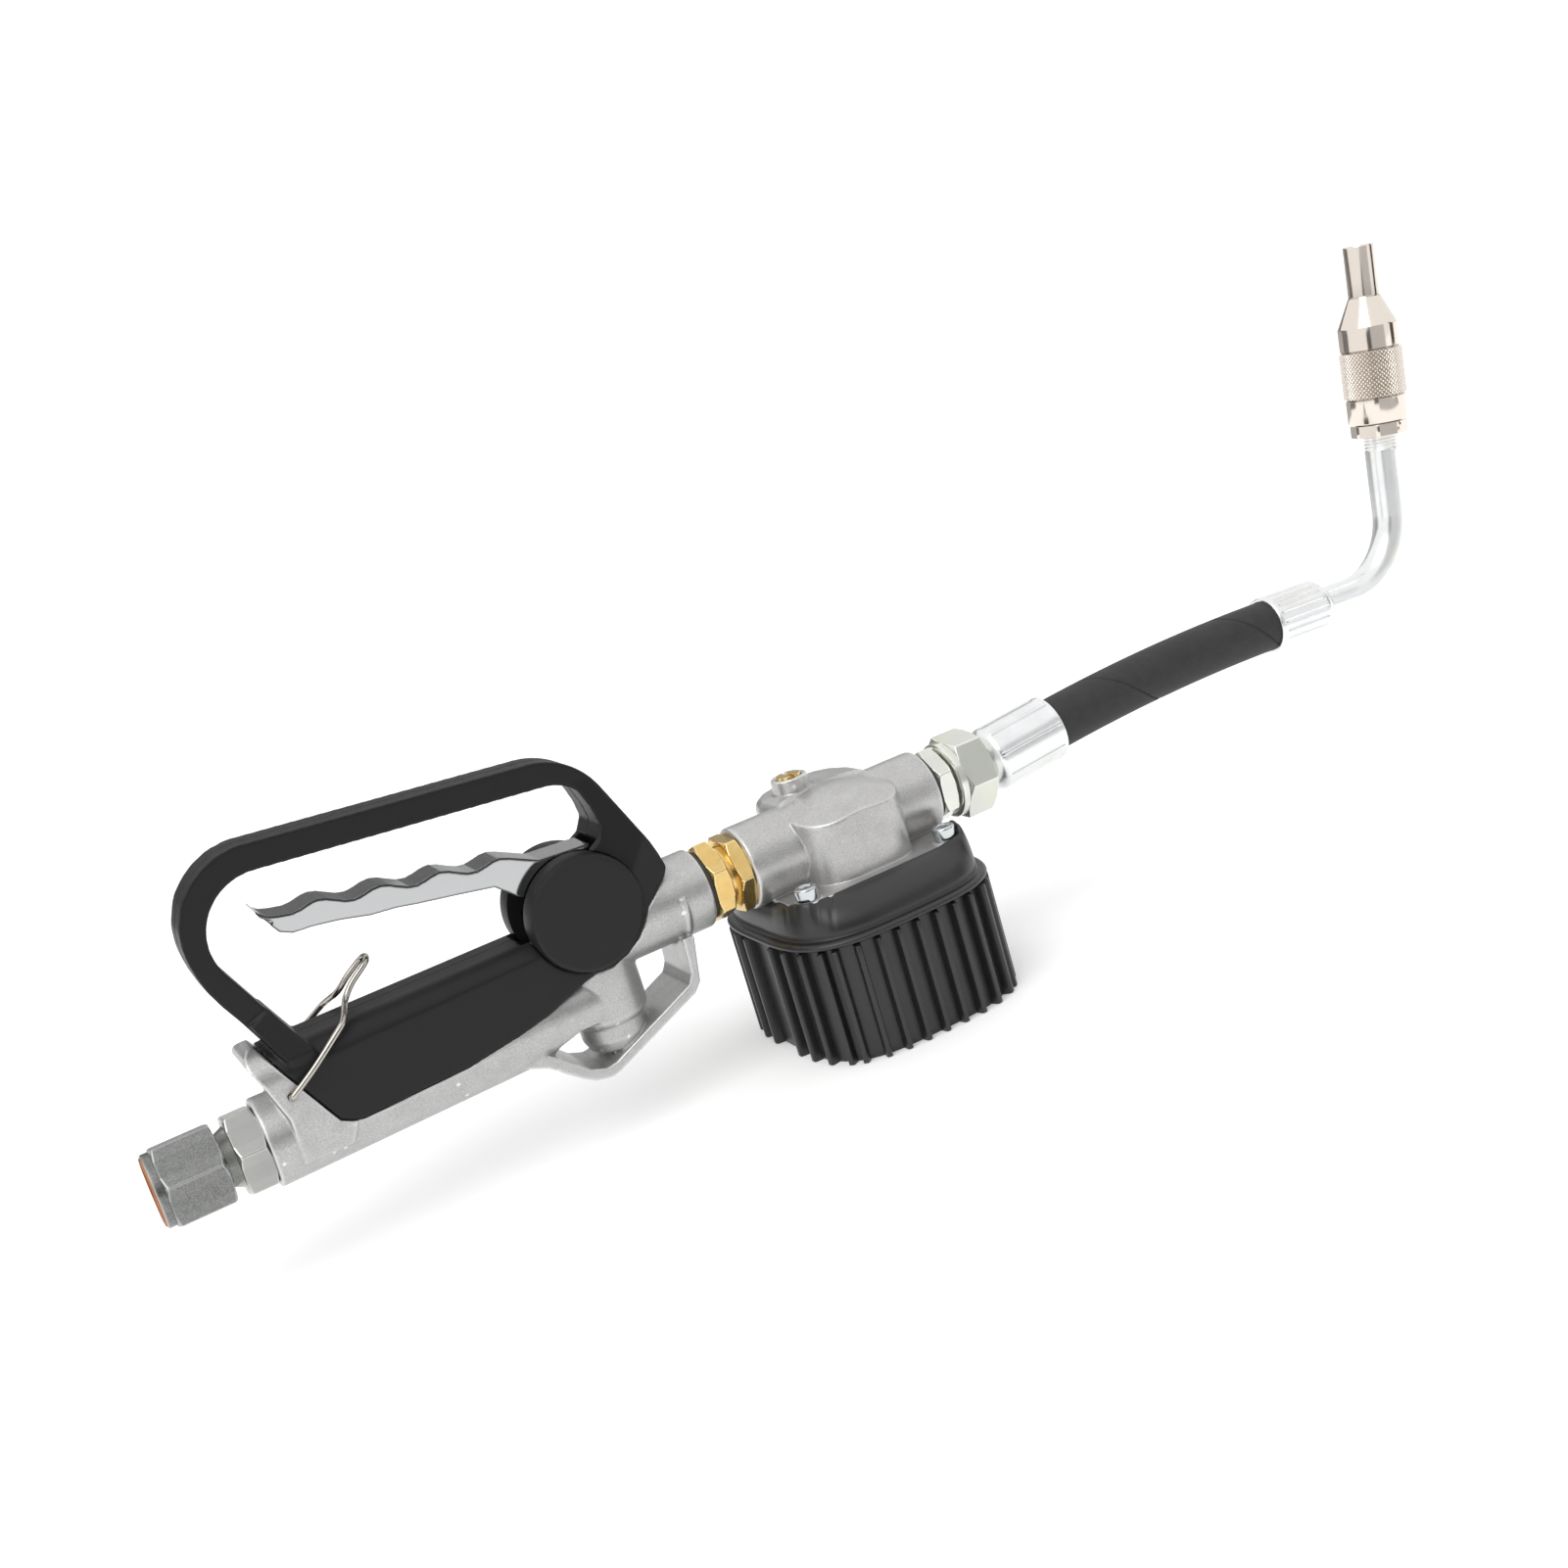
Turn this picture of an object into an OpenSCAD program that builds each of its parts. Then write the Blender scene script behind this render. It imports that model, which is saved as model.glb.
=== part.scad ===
// Metered oil and fuel control gun: valve handle with trigger, oval-gear meter,
// short hose, bent tube and non-drip tip. +X runs along the gun from inlet to
// nozzle, +Z is the trigger side, and the origin is the centre of the inlet mouth.

/* [Inlet swivel] */
// Wall radius of the inlet's G1/2 female thread
inlet_thread_r = 9.3; // [8.5:0.1:9.5]
// Length of the inlet's thread
inlet_thread_len = 14; // [12:0.5:15]
// Length of the swivel nut
swivel_len = 23.5; // [23:0.5:26]
// Width across flats of the swivel nut and of the adapter
swivel_af = 27; // [26:0.5:28]
// Length of the adapter's hexagon
adapter_hex_len = 10.5; // [8:0.5:14]
// Length of the bare neck between the two hexagons
adapter_neck_len = 4; // [3:0.5:6]
// Radius of the flow bore through the adapter and the grip
flow_r = 5.5; // [4.5:0.5:6]

/* [Handle casting] */
// Length of the casting, from the adapter's hexagon to the outlet face
body_len = 174; // [172:1:180]
// Radius of the grip
grip_r = 16; // [15.6:0.1:16.6]
// Radius of the grip where it meets the valve chamber
grip_front_r = 14.7; // [14:0.1:15]
// Radius of the outlet boss
outlet_r = 15.1; // [14.8:0.1:16]
// Height of the outlet axis over the grip axis
outlet_rise = 22; // [20:0.5:24]
// Distance from the casting's rear face to the valve axis
valve_offset = 126; // [124:0.5:128]
// Radius of the bore that holds the valve cartridge
valve_bore_r = 9.5; // [9:0.1:10]
// Half width of the strap that guards the valve chamber
strap_half = 13; // [10:0.5:15]
// Thickness of the strap
strap_t = 4; // [3:0.5:5]

/* [Grip cover] */
// Wall of the two-shell plastic cover
cover_wall = 2.5; // [2:0.1:3]
// Gap between the cover and the casting
cover_gap = 0.3; // [0.2:0.05:0.5]
// Height of the cover's top over the grip axis
cover_top = 31.5; // [30:0.5:33]
// Radius that rounds the cover's long top edges
cover_round = 10; // [8:0.5:11]
// Half width of the finger guard
guard_half = 8; // [7:0.5:9]
// Radius of the two pivot caps
cap_r = 21; // [20:0.5:22]
// Distance from the middle plane to the outer face of a pivot cap
cap_face = 18.3; // [18:0.1:20]

/* [Trigger] */
// Half width of the trigger channel
trigger_half = 8; // [7:0.25:8]
// Sheet thickness of the trigger
trigger_t = 1.6; // [1.2:0.1:2]
// Radius of the trigger's pivot pin
pivot_pin_r = 2.5; // [2:0.25:3]
// Number of finger scallops
scallops = 4; // [3:1:5]
// Radius of the latch wire
latch_wire_r = 1.1; // [0.9:0.1:1.3]

/* [Valve] */
// Radius of the valve stem
stem_r = 2.5; // [2:0.1:3]
// Radius of the passage through the valve seat
seat_r = 5.5; // [5:0.1:6]
// Radius of the valve spring's coil, to the wire's centre
spring_r = 5; // [4.5:0.1:5.5]
// Radius of the valve spring's wire
spring_wire_r = 0.7; // [0.5:0.1:0.9]

/* [Meter] */
// Radius of the meter's inlet and outlet tubes
meter_tube_r = 16; // [15.6:0.1:16.4]
// Length of the meter from port to port
meter_len = 81; // [80:0.5:84]
// Distance from the casting's outlet face to the meter's inlet face
union_gap = 17.5; // [17:0.5:20]
// Half length of the gear drum along the gun
drum_half_x = 21.5; // [21:0.5:23]
// Half width of the gear drum across the gun
drum_half_y = 26.5; // [26:0.5:28]
// Long half axis of an oval gear
gear_a = 12.7; // [12.2:0.1:12.8]
// Short half axis of an oval gear
gear_b = 7.3; // [7:0.1:7.4]
// Radius of the meter screws' shanks
meter_screw_r = 2.5; // [2:0.1:2.6]

/* [Display and boot] */
// Half length of the boot along the gun, over its ribs
boot_half_x = 46; // [45:0.5:48]
// Half width of the boot across the gun, over its ribs
boot_half_y = 48; // [47:0.5:50]
// Height of the boot's foot below the grip axis
boot_foot = 51.5; // [50:0.5:54]
// How far a rib stands out of the boot's wall
rib_out = 3.5; // [2.5:0.25:4]
// Wall of the boot
boot_wall = 2.5; // [2:0.1:3]
// Pitch of the boot's ribs on its long sides
rib_pitch = 8.3; // [7.5:0.1:9]

/* [Hose and spout] */
// Outer radius of the hose
hose_r = 10.5; // [10:0.1:11]
// Inner radius of the hose
hose_bore_r = 6.3; // [6:0.1:6.6]
// Length of hose that shows between the ferrules
hose_len = 112.5; // [90:0.5:140]
// Angle at which the hose leaves the rear ferrule, up from the gun's axis
hose_rise = 5.5; // [0:0.5:8]
// Angle through which the hose bends down again
hose_bend = 8; // [4:0.5:12]
// Length of the rear ferrule
rear_ferrule_len = 34; // [30:0.5:38]
// Length of the front ferrule
front_ferrule_len = 29.5; // [26:0.5:34]
// Outer radius of the bent tube
tube_r = 7; // [6.8:0.1:7.2]
// Radius of the tube's bend, to its centre line
tube_bend_r = 30; // [26:0.5:36]
// Angle through which the tube is bent
tube_bend = 86; // [60:1:92]
// Straight length of tube before the bend
tube_lead = 15.5; // [12:0.5:25]
// Straight length of tube after the bend, up to the tip
tube_leg = 33.5; // [25:0.5:50]

/* [Tip] */
// Radius of the knurled sleeve
sleeve_r = 12.8; // [12.6:0.1:13.4]
// Radius of the spout
spout_r = 6.35; // [6:0.05:6.6]
// Length of the spout
spout_len = 21; // [18:0.5:26]
// Length of the knurled band
knurl_len = 19.3; // [16:0.1:22]

/* [Hidden] */
$fn = 64;
seat_fit = 0.05;
run_fit = 0.08;
step_fit = 0.05;
far = 200;

// Inlet stations along X
swivel_back_wall = 3.3;
adapter_flange_x = inlet_thread_len + 1;
neck_end = swivel_len + adapter_neck_len;
body_x = neck_end + adapter_hex_len;
out_x = body_x + body_len;
valve_x = body_x + valve_offset;
// Radius of the core under the cover, behind the chamber
neck_front_r = 9.4;
adapter_thread_r = 9.8;
adapter_thread_len = 14;
adapter_flange_r = inlet_thread_r - 0.2;
neck_r = adapter_flange_r - 1.1;
port_r = 9.6;
port_len = 15;

// Cover and pivot caps
cap_x = valve_x + 1;
cap_z = outlet_rise + 12.5;
cap_inner = 9;
cap_wall = 2;
hub_room = 8.5;
// Chamber boss stands this far ahead of its bore
boss_shift = 1.8;
block_half = 15.8;
ear_r = 6.5;
pivot_x = cap_x + 9;
pivot_z = cap_z + 7.5;
rear_x = body_x + 6;
joint_drop = 1;
cover_screw_x = body_x + 60;
cover_screw_z = 15;
cover_screw_end = grip_front_r - 1;

// Valve stack, bottom to top
boss_r = 14.5;
chamber_floor = -16;
seat_z = 5;
seat_t = 5;
gland_z = 24;
gland_top = 30.4;
pocket_floor = 30.5;
roller_x = valve_x - 1;
roller_z = pivot_z - 2.5;
roller_r = 3;
stem_top = roller_z - roller_r - 0.3;
poppet_t = 4;

// Meter stations
meter_x0 = out_x + union_gap;
meter_x1 = meter_x0 + meter_len;
meter_x = meter_x0 + 42;
drum_round = 15;
drum_wall_top = 33;
drum_top = 40;
plate_x = 36.2;
plate_y = 31.4;
plate_round = 11;
boss_screw_r = 5.6;
flange_z0 = 3;
flange_z1 = 9;
gear_y = (gear_a + gear_b + 0.5) / 2;
gear_room_r = gear_a + 0.6;
gear_z0 = flange_z0 + 0.4;
gear_z1 = 25.6;
screw_dx = 30;
screw_dy = 27;
boss_dx = -9;
boss_dy = 8;
boss_top = 45.5;

// Display stack
gasket_t = 1;
plate_z0 = -2;
plate_z1 = flange_z0 - gasket_t;
housing_top = plate_z0;
boot_floor = 3.5;
housing_bottom = boot_floor - boot_foot;
plan_power = 3.4;
wall_x = boot_half_x - rib_out;
wall_y = boot_half_y - rib_out;
housing_x = wall_x - boot_wall - 0.1;
housing_y = wall_y - boot_wall - 0.1;
window_half = 27;
battery_len = 44.5;
battery_wide = 26;
battery_thick = 16;
screen_len = 40;
screen_wide = 24;
board_half = 30;
board_t = 1.6;
board_z = 5.2;
clip_t = 1.5;
clip_wide = 16;
button_dy = -20;
button_dx = 12;
button_r = 4;
button_travel = 0.8;

// Hose stations
nipple_hex_x = meter_x1 + 2;
nut_x0 = nipple_hex_x + 7.5;
nut_x1 = nut_x0 + 16;
tilt_x = nut_x1 + 2;
hose_arc_r = hose_len / (hose_bend * PI / 180);
grip_depth = 26;
ferrule_wall = 2.6;
tail_bore = 4.5;

// Tip stations, along the tip's own axis
tip_nut_len = 5.1;
tip_gap = 0.5;
knurl_z = 16.3;
band_end = knurl_z + knurl_len + 10;
cone_end = band_end + 12;
tip_len = cone_end + spout_len;
base_stem_r = 9;
base_top = 34;
tube_wall = 1.8;
tube_end_in = 12;

// ---- shared shapes ----

// Round bar or tube along X from x0 to x1 at height z
module bar_x(x0, x1, r, z = 0) {
    translate([x0, 0, z])
        rotate([0, 90, 0])
            cylinder(h = x1 - x0, r = r);
}

// Solid of revolution about the X axis through height z, from [x, r] points
module spun_x(points, z = 0) {
    translate([0, 0, z])
        rotate([0, 90, 0])
            rotate_extrude()
                polygon([for (p = points) [p[1], p[0]]]);
}

// Hexagon bar along X with chamfered corners at both ends
module hex_x(x0, x1, af, phase, z = 0) {
    corner = af / sqrt(3);
    cut = corner - af / 2;
    intersection() {
        translate([x0, 0, z])
            rotate([0, 90, 0])
                rotate([0, 0, phase])
                    cylinder(h = x1 - x0, r = corner, $fn = 6);
        spun_x([[x0, 0], [x0, af / 2 + 0.2], [x0 + cut / 2, corner + 0.01],
            [x1 - cut / 2, corner + 0.01], [x1, af / 2 + 0.2], [x1, 0]], z);
    }
}

// Plate in the XZ plane between y0 and y1
module slab_y(y0, y1) {
    translate([0, y1, 0])
        rotate([90, 0, 0])
            linear_extrude(y1 - y0)
                children();
}

// Hexagonal socket or slot tools stay plain: a rounded rectangle from circles
module round_rect(hx, hy, r) {
    square([2 * (hx - r), 2 * hy], center = true);
    square([2 * hx, 2 * (hy - r)], center = true);
    for (sx = [-1, 1], sy = [-1, 1])
        translate([sx * (hx - r), sy * (hy - r)])
            circle(r);
}

// Bowed square plan: points of a superellipse
function plan_points(hx, hy, count = 48) = [for (i = [0:count - 1])
    let (a = 360 * i / count, c = cos(a), s = sin(a))
        [hx * sign(c) * pow(abs(c), 2 / plan_power), hy * sign(s) * pow(abs(s), 2 / plan_power)]];

module plan(hx, hy) {
    polygon(plan_points(hx, hy));
}

// Frame of the hose's rear end: x runs along the hose as it leaves the nut
module hose_frame() {
    translate([tilt_x, 0, outlet_rise])
        rotate([0, -hose_rise, 0])
            children();
}

// Frame of the front ferrule: x = 0 is where the hose enters it
module front_frame() {
    hose_frame()
        translate([rear_ferrule_len + hose_arc_r * sin(hose_bend), 0,
            -hose_arc_r * (1 - cos(hose_bend))])
            rotate([0, hose_bend, 0])
                children();
}

// Frame of the tip: z = 0 is the tip's rear face, z runs out of the spout
module tip_frame() {
    front_frame()
        translate([front_ferrule_len + tube_lead + tube_bend_r * sin(tube_bend), 0,
            tube_bend_r * (1 - cos(tube_bend))])
            rotate([0, 90 - tube_bend, 0])
                translate([0, 0, tube_leg])
                    children();
}

// Bar swept along an arc in the XZ plane, from x = 0 along +X, bending up or down
module arc_tube(bend_r, angle, r, up) {
    steps = max(12, ceil(angle / 2));
    translate([0, 0, up * bend_r])
        rotate([90, 0, 0])
            rotate([0, 0, up > 0 ? -90 : 90 - angle])
                rotate_extrude(angle = angle, $fn = ceil(360 / angle) * steps)
                    translate([bend_r, 0])
                        circle(r, $fn = 64);
}

// Wire of one radius along a path of points; up must not lie along any part of it
function unit(v) = v / norm(v);
function heading(path, i) = unit(path[min(i + 1, len(path) - 1)] - path[max(i - 1, 0)]);
function wire_points(path, r, sides, up) = [for (i = [0:len(path) - 1])
    let (t = heading(path, i), u = unit(cross(up, t)), v = cross(t, u))
        for (k = [0:sides - 1]) path[i] + r * (cos(360 * k / sides) * u + sin(360 * k / sides) * v)];

module swept_wire(path, r, sides, up) {
    n = len(path) - 1;
    m = sides;
    polyhedron(points = wire_points(path, r, sides, up),
        faces = concat(
            [for (i = [0:n - 1], k = [0:m - 1]) [i * m + k, (i + 1) * m + k, i * m + (k + 1) % m]],
            [for (i = [0:n - 1], k = [0:m - 1]) [i * m + (k + 1) % m, (i + 1) * m + k,
                (i + 1) * m + (k + 1) % m]],
            [[for (k = [0:m - 1]) k]],
            [[for (k = [m - 1:-1:0]) n * m + k]]));
}

// ---- grip outlines in the XZ plane ----

// Slanting joint between the rear flange and the cover
function rear_edge(z) = rear_x + 18.5 * (cover_top + 5.5 - z) / 35;

// Lower edge of the cover, from the rear flange to the pivot caps
cover_edge = [[rear_x + 18.5, 2], [rear_x + 22, 0], [rear_x + 26, -joint_drop], [rear_x + 64, 0],
    [rear_x + 85, 3], [rear_x + 98, 5.5], [cap_x - 3, 12.5]];

// Lower edge of the cover's front block, from the pivot cap's centre
block_edge = [[22.2, -7.2], [27, -3.8], [32.3, -0.2], [34, 2.2]];

// Cover outline in side view, without the guard
function cover_outline(grow) = concat(
    [[rear_edge(cover_top + 8) - grow, cover_top + 8]],
    [for (p = cover_edge) [p[0] - grow * (p[0] < rear_x + 20 ? 1 : 0), p[1] - grow]],
    [for (a = [-80:16:-16]) [cap_x + (cap_r + 1.5 + grow) * cos(a), cap_z + (cap_r + 1.5 + grow) * sin(a)]],
    [[cap_x + 35 + grow, cap_z + 3.5 - grow], [cap_x + 33 + grow, cap_z + 13], [cap_x + 20, cap_z + 38],
        [cap_x - 3, cap_z + 26], [cap_x - 3, cover_top + 8]]);

// Corners of the finger guard; each end is rounded by its own radius
guard_outer = [[body_x - 2.5, 69.5], [body_x - 2.5, 75], [body_x - 1.7, 80], [body_x + 0.2, 84.4],
    [body_x + 2.4, 88.8], [body_x + 6.1, 92.6], [body_x + 10.7, 96], [body_x + 16.9, 98.8],
    [body_x + 24, 99.8], [cap_x + 14.6, 87.9], [cap_x + 31, 51], [cap_x + 33.5, 45], [cap_x + 35.5, 37],
    [cap_x + 48, 12], [body_x + 22.5, 12], [body_x + 9.6, 37.2], [body_x + 6.3, 44.3], [body_x + 2.7, 51.2],
    [body_x - 0.2, 58], [body_x - 1.7, 64]];
guard_inner = [[body_x - 8.4, 93.5], [cap_x + 17.3, 78.3], [cap_x + 15.3, 14], [body_x + 30.7, 14]];

// Outline with every corner rounded
module rounded(r) {
    offset(r = r, $fn = 80)
        offset(delta = -r)
            children();
}

// Outline rounded by rear_r behind the guard's middle and by front_r ahead of it
module rounded_ends(rear_r, front_r) {
    middle = body_x + 70;
    intersection() {
        rounded(rear_r)
            children();
        translate([middle - far, 0])
            square([far, far]);
    }
    intersection() {
        rounded(front_r)
            children();
        translate([middle - 1, 0])
            square([far, far]);
    }
}

module guard_shape() {
    difference() {
        intersection() {
            rounded_ends(12, 28)
                polygon(guard_outer);
            translate([0, cover_top - 1.5])
                square([far + 50, far]);
            // keeps clear of the casting's outlet boss
            polygon([[0, 0], [cap_x + 8, 26], [cap_x + 34, cap_z + 2], [cap_x + 50, 60],
                [cap_x + 50, far], [0, far]]);
        }
        rounded_ends(20, 16.5)
            polygon(guard_inner);
    }
}

// Prism along X whose half width narrows upwards, from [height, half width] rows
module tapered_x(rows, x0, x1) {
    translate([x0, 0, 0])
        rotate([90, 0, 90])
            linear_extrude(x1 - x0)
                polygon(concat([for (row = rows) [row[1], row[0]]],
                    [for (i = [len(rows) - 1:-1:0]) [-rows[i][1], rows[i][0]]]));
}

// Outer section of grip and cover: round below, rounded box above
module grip_section(half, top, r) {
    circle(half);
    translate([-half, 0])
        square([2 * half, top - r]);
    translate([-(half - r), 0])
        square([2 * (half - r), top]);
    for (s = [-1, 1])
        translate([s * (half - r), top - r])
            circle(r);
}

module grip_prism(half, top, r, x0, x1) {
    translate([x0, 0, 0])
        rotate([90, 0, 90])
            linear_extrude(x1 - x0)
                grip_section(half, top, r);
}

// ---- handle ----

module grip_outer() {
    difference() {
        spun_x([[body_x, 0], [body_x, grip_r - 0.4], [body_x + 0.4, grip_r], [body_x + 84, grip_front_r],
            [body_x + 113, 14], [valve_x, 13.8], [valve_x, 0]]);
        // opening between grip and strap
        slab_y(-far, far)
            polygon([[body_x + 101, -11.6], [body_x + 104.2, -8.4], [body_x + 112, -5.8], [valve_x + 1, -5.8],
                [valve_x + 1, -20], [body_x + 104, -20]]);
    }
}

module rear_flange() {
    intersection() {
        grip_prism(grip_r + 0.4, cover_top + 2.6, cover_round + 2.5, body_x - 1, body_x + 40);
        slab_y(-far, far)
            polygon([[body_x + 2, cover_top - 1.5], [body_x + 2.8, cover_top + 1],
                [body_x + 4.8, cover_top + 2.4], [rear_x + 6, cover_top + 3], [rear_x + 24, 1],
                [rear_x + 20, -8], [body_x + 9, -8], [body_x + 9, 9], [body_x + 4.8, 23]]);
    }
}

module strap() {
    intersection() {
        slab_y(-strap_half, strap_half)
            difference() {
                polygon([[body_x + 78, -6], [body_x + 91, -11.6], [body_x + 97.6, -13.8],
                    [body_x + 103.4, -19], [body_x + 108, -22.6], [body_x + 112, -25.2],
                    [body_x + 118, -26.4], [body_x + 121, -25.8], [out_x - 17.2, -10.5],
                    [out_x - 14, -7], [out_x - 12.8, 0], [out_x - 11, 10],
                    [out_x - 22, 10], [body_x + 90, 0]]);
                polygon([[body_x + 90, -5], [body_x + 98.3, -9], [body_x + 102, -11.6],
                    [body_x + 107.4, -16.2], [body_x + 111.7, -20.4],
                    [body_x + 117, -26.4 + strap_t], [body_x + 121, -25.8 + strap_t],
                    [out_x - 18.5, -10.6 + strap_t], [out_x - 16.5, -3], [out_x - 15.5, 12],
                    [body_x + 100, 12], [body_x + 90, 2]]);
            }
        // the strap widens as it leaves the grip
        translate([0, 0, -far])
            linear_extrude(2 * far)
                polygon([[body_x + 77, -6], [body_x + 98, -strap_half + 0.5], [body_x + 106, -strap_half - 1],
                    [out_x, -strap_half - 1], [out_x, strap_half + 1], [body_x + 106, strap_half + 1],
                    [body_x + 98, strap_half - 0.5], [body_x + 77, 6]]);
    }
}

module valve_body() {
    core_r = grip_front_r - cover_wall - cover_gap - 0.3;
    color("silver")
        difference() {
            union() {
                difference() {
                    union() {
                        grip_outer();
                        rear_flange();
                        spun_x([[valve_x, 0], [valve_x, outlet_r], [out_x - 0.6, outlet_r],
                            [out_x, outlet_r - 0.6], [out_x, 0]], outlet_rise);
                        slab_y(-9, 9)
                            polygon([[valve_x - 34, -6], [valve_x, -6], [valve_x, 30], [valve_x - 34, 9]]);
                        // ridge that carries the strap's edges up the outlet boss
                        intersection() {
                            bar_x(out_x - 12.8, out_x - 10.9, outlet_r + 0.7, outlet_rise);
                            union()
                                for (s = [-1, 1])
                                    slab_y(s * 13 - 5, s * 13 + 5)
                                        translate([out_x - 15, 4])
                                            square([6, 21]);
                        }
                        translate([valve_x + boss_shift, 0, 0])
                            rotate_extrude()
                                polygon([[0, -21.5], [6, -21.2], [10.5, -19], [12.3, -15], [12.5, -9.5],
                                    [13.6, -8.6], [boss_r, -7], [boss_r, 28], [0, 28]]);
                        strap();
                    }
                    // recess for the cover
                    slab_y(-far, far)
                        polygon(concat([[rear_edge(cover_top + 12) - cover_gap, cover_top + 12]],
                            [for (p = cover_edge) [p[0] - cover_gap * (p[0] < rear_x + 20 ? 1 : 0),
                                p[1] - cover_gap]],
                            [for (a = [-80:16:-32]) [cap_x + (cap_r + 1.8) * cos(a),
                                cap_z + (cap_r + 1.8) * sin(a)]],
                            [for (p = block_edge) [cap_x + p[0] + 0.2, cap_z + p[1] - cover_gap]],
                            [[cap_x + 34.4, cap_z + 40]]));
                }
                // core under the cover
                spun_x([[body_x + 10, 0], [body_x + 10, core_r], [body_x + 84, core_r],
                    [body_x + 95, core_r - 0.1], [body_x + 105, neck_front_r], [valve_x, neck_front_r - 1],
                    [valve_x, 0]]);
                translate([body_x + 16, -4, 0])
                    cube([valve_x - body_x - 16, 8, cover_top - cover_wall - 2]);
                translate([valve_x, 0, -6])
                    cylinder(h = pocket_floor + 6, r = 12);
                bar_x(valve_x, out_x - 12.5, outlet_r - cover_wall - 0.6, outlet_rise);
                // ears for the pivot pin
                for (s = [-1, 1])
                    slab_y(s * 10.8 - 2, s * 10.8 + 2) {
                        translate([pivot_x, pivot_z])
                            circle(ear_r);
                        translate([pivot_x - ear_r, outlet_rise])
                            square([2 * ear_r, pivot_z - outlet_rise]);
                    }
            }
            // pocket in which the trigger's hub swings
            translate([valve_x - 17, -8.7, pocket_floor])
                cube([pivot_x + hub_room - valve_x + 17, 17.4, 40]);
            slab_y(-far, far)
                translate([pivot_x, pivot_z])
                    circle(pivot_pin_r + seat_fit);
            // flow path
            bar_x(body_x - 1, body_x + adapter_thread_len + 1, adapter_thread_r + seat_fit, 0);
            bar_x(body_x, valve_x - 4, flow_r, 0);
            translate([valve_x, 0, chamber_floor])
                cylinder(h = pocket_floor - chamber_floor + 0.5, r = valve_bore_r);
            bar_x(valve_x + 4, out_x + 1, 6, outlet_rise);
            bar_x(out_x - port_len, out_x + 1, port_r + seat_fit, outlet_rise);
            // latch holes, cover screw hole
            slab_y(-far, far)
                translate([body_x + 12, 16.5])
                    circle(latch_wire_r + 0.1);
            slab_y(-far, far)
                translate([cover_screw_x, cover_screw_z])
                    circle(2.2);
        }
}

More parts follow.
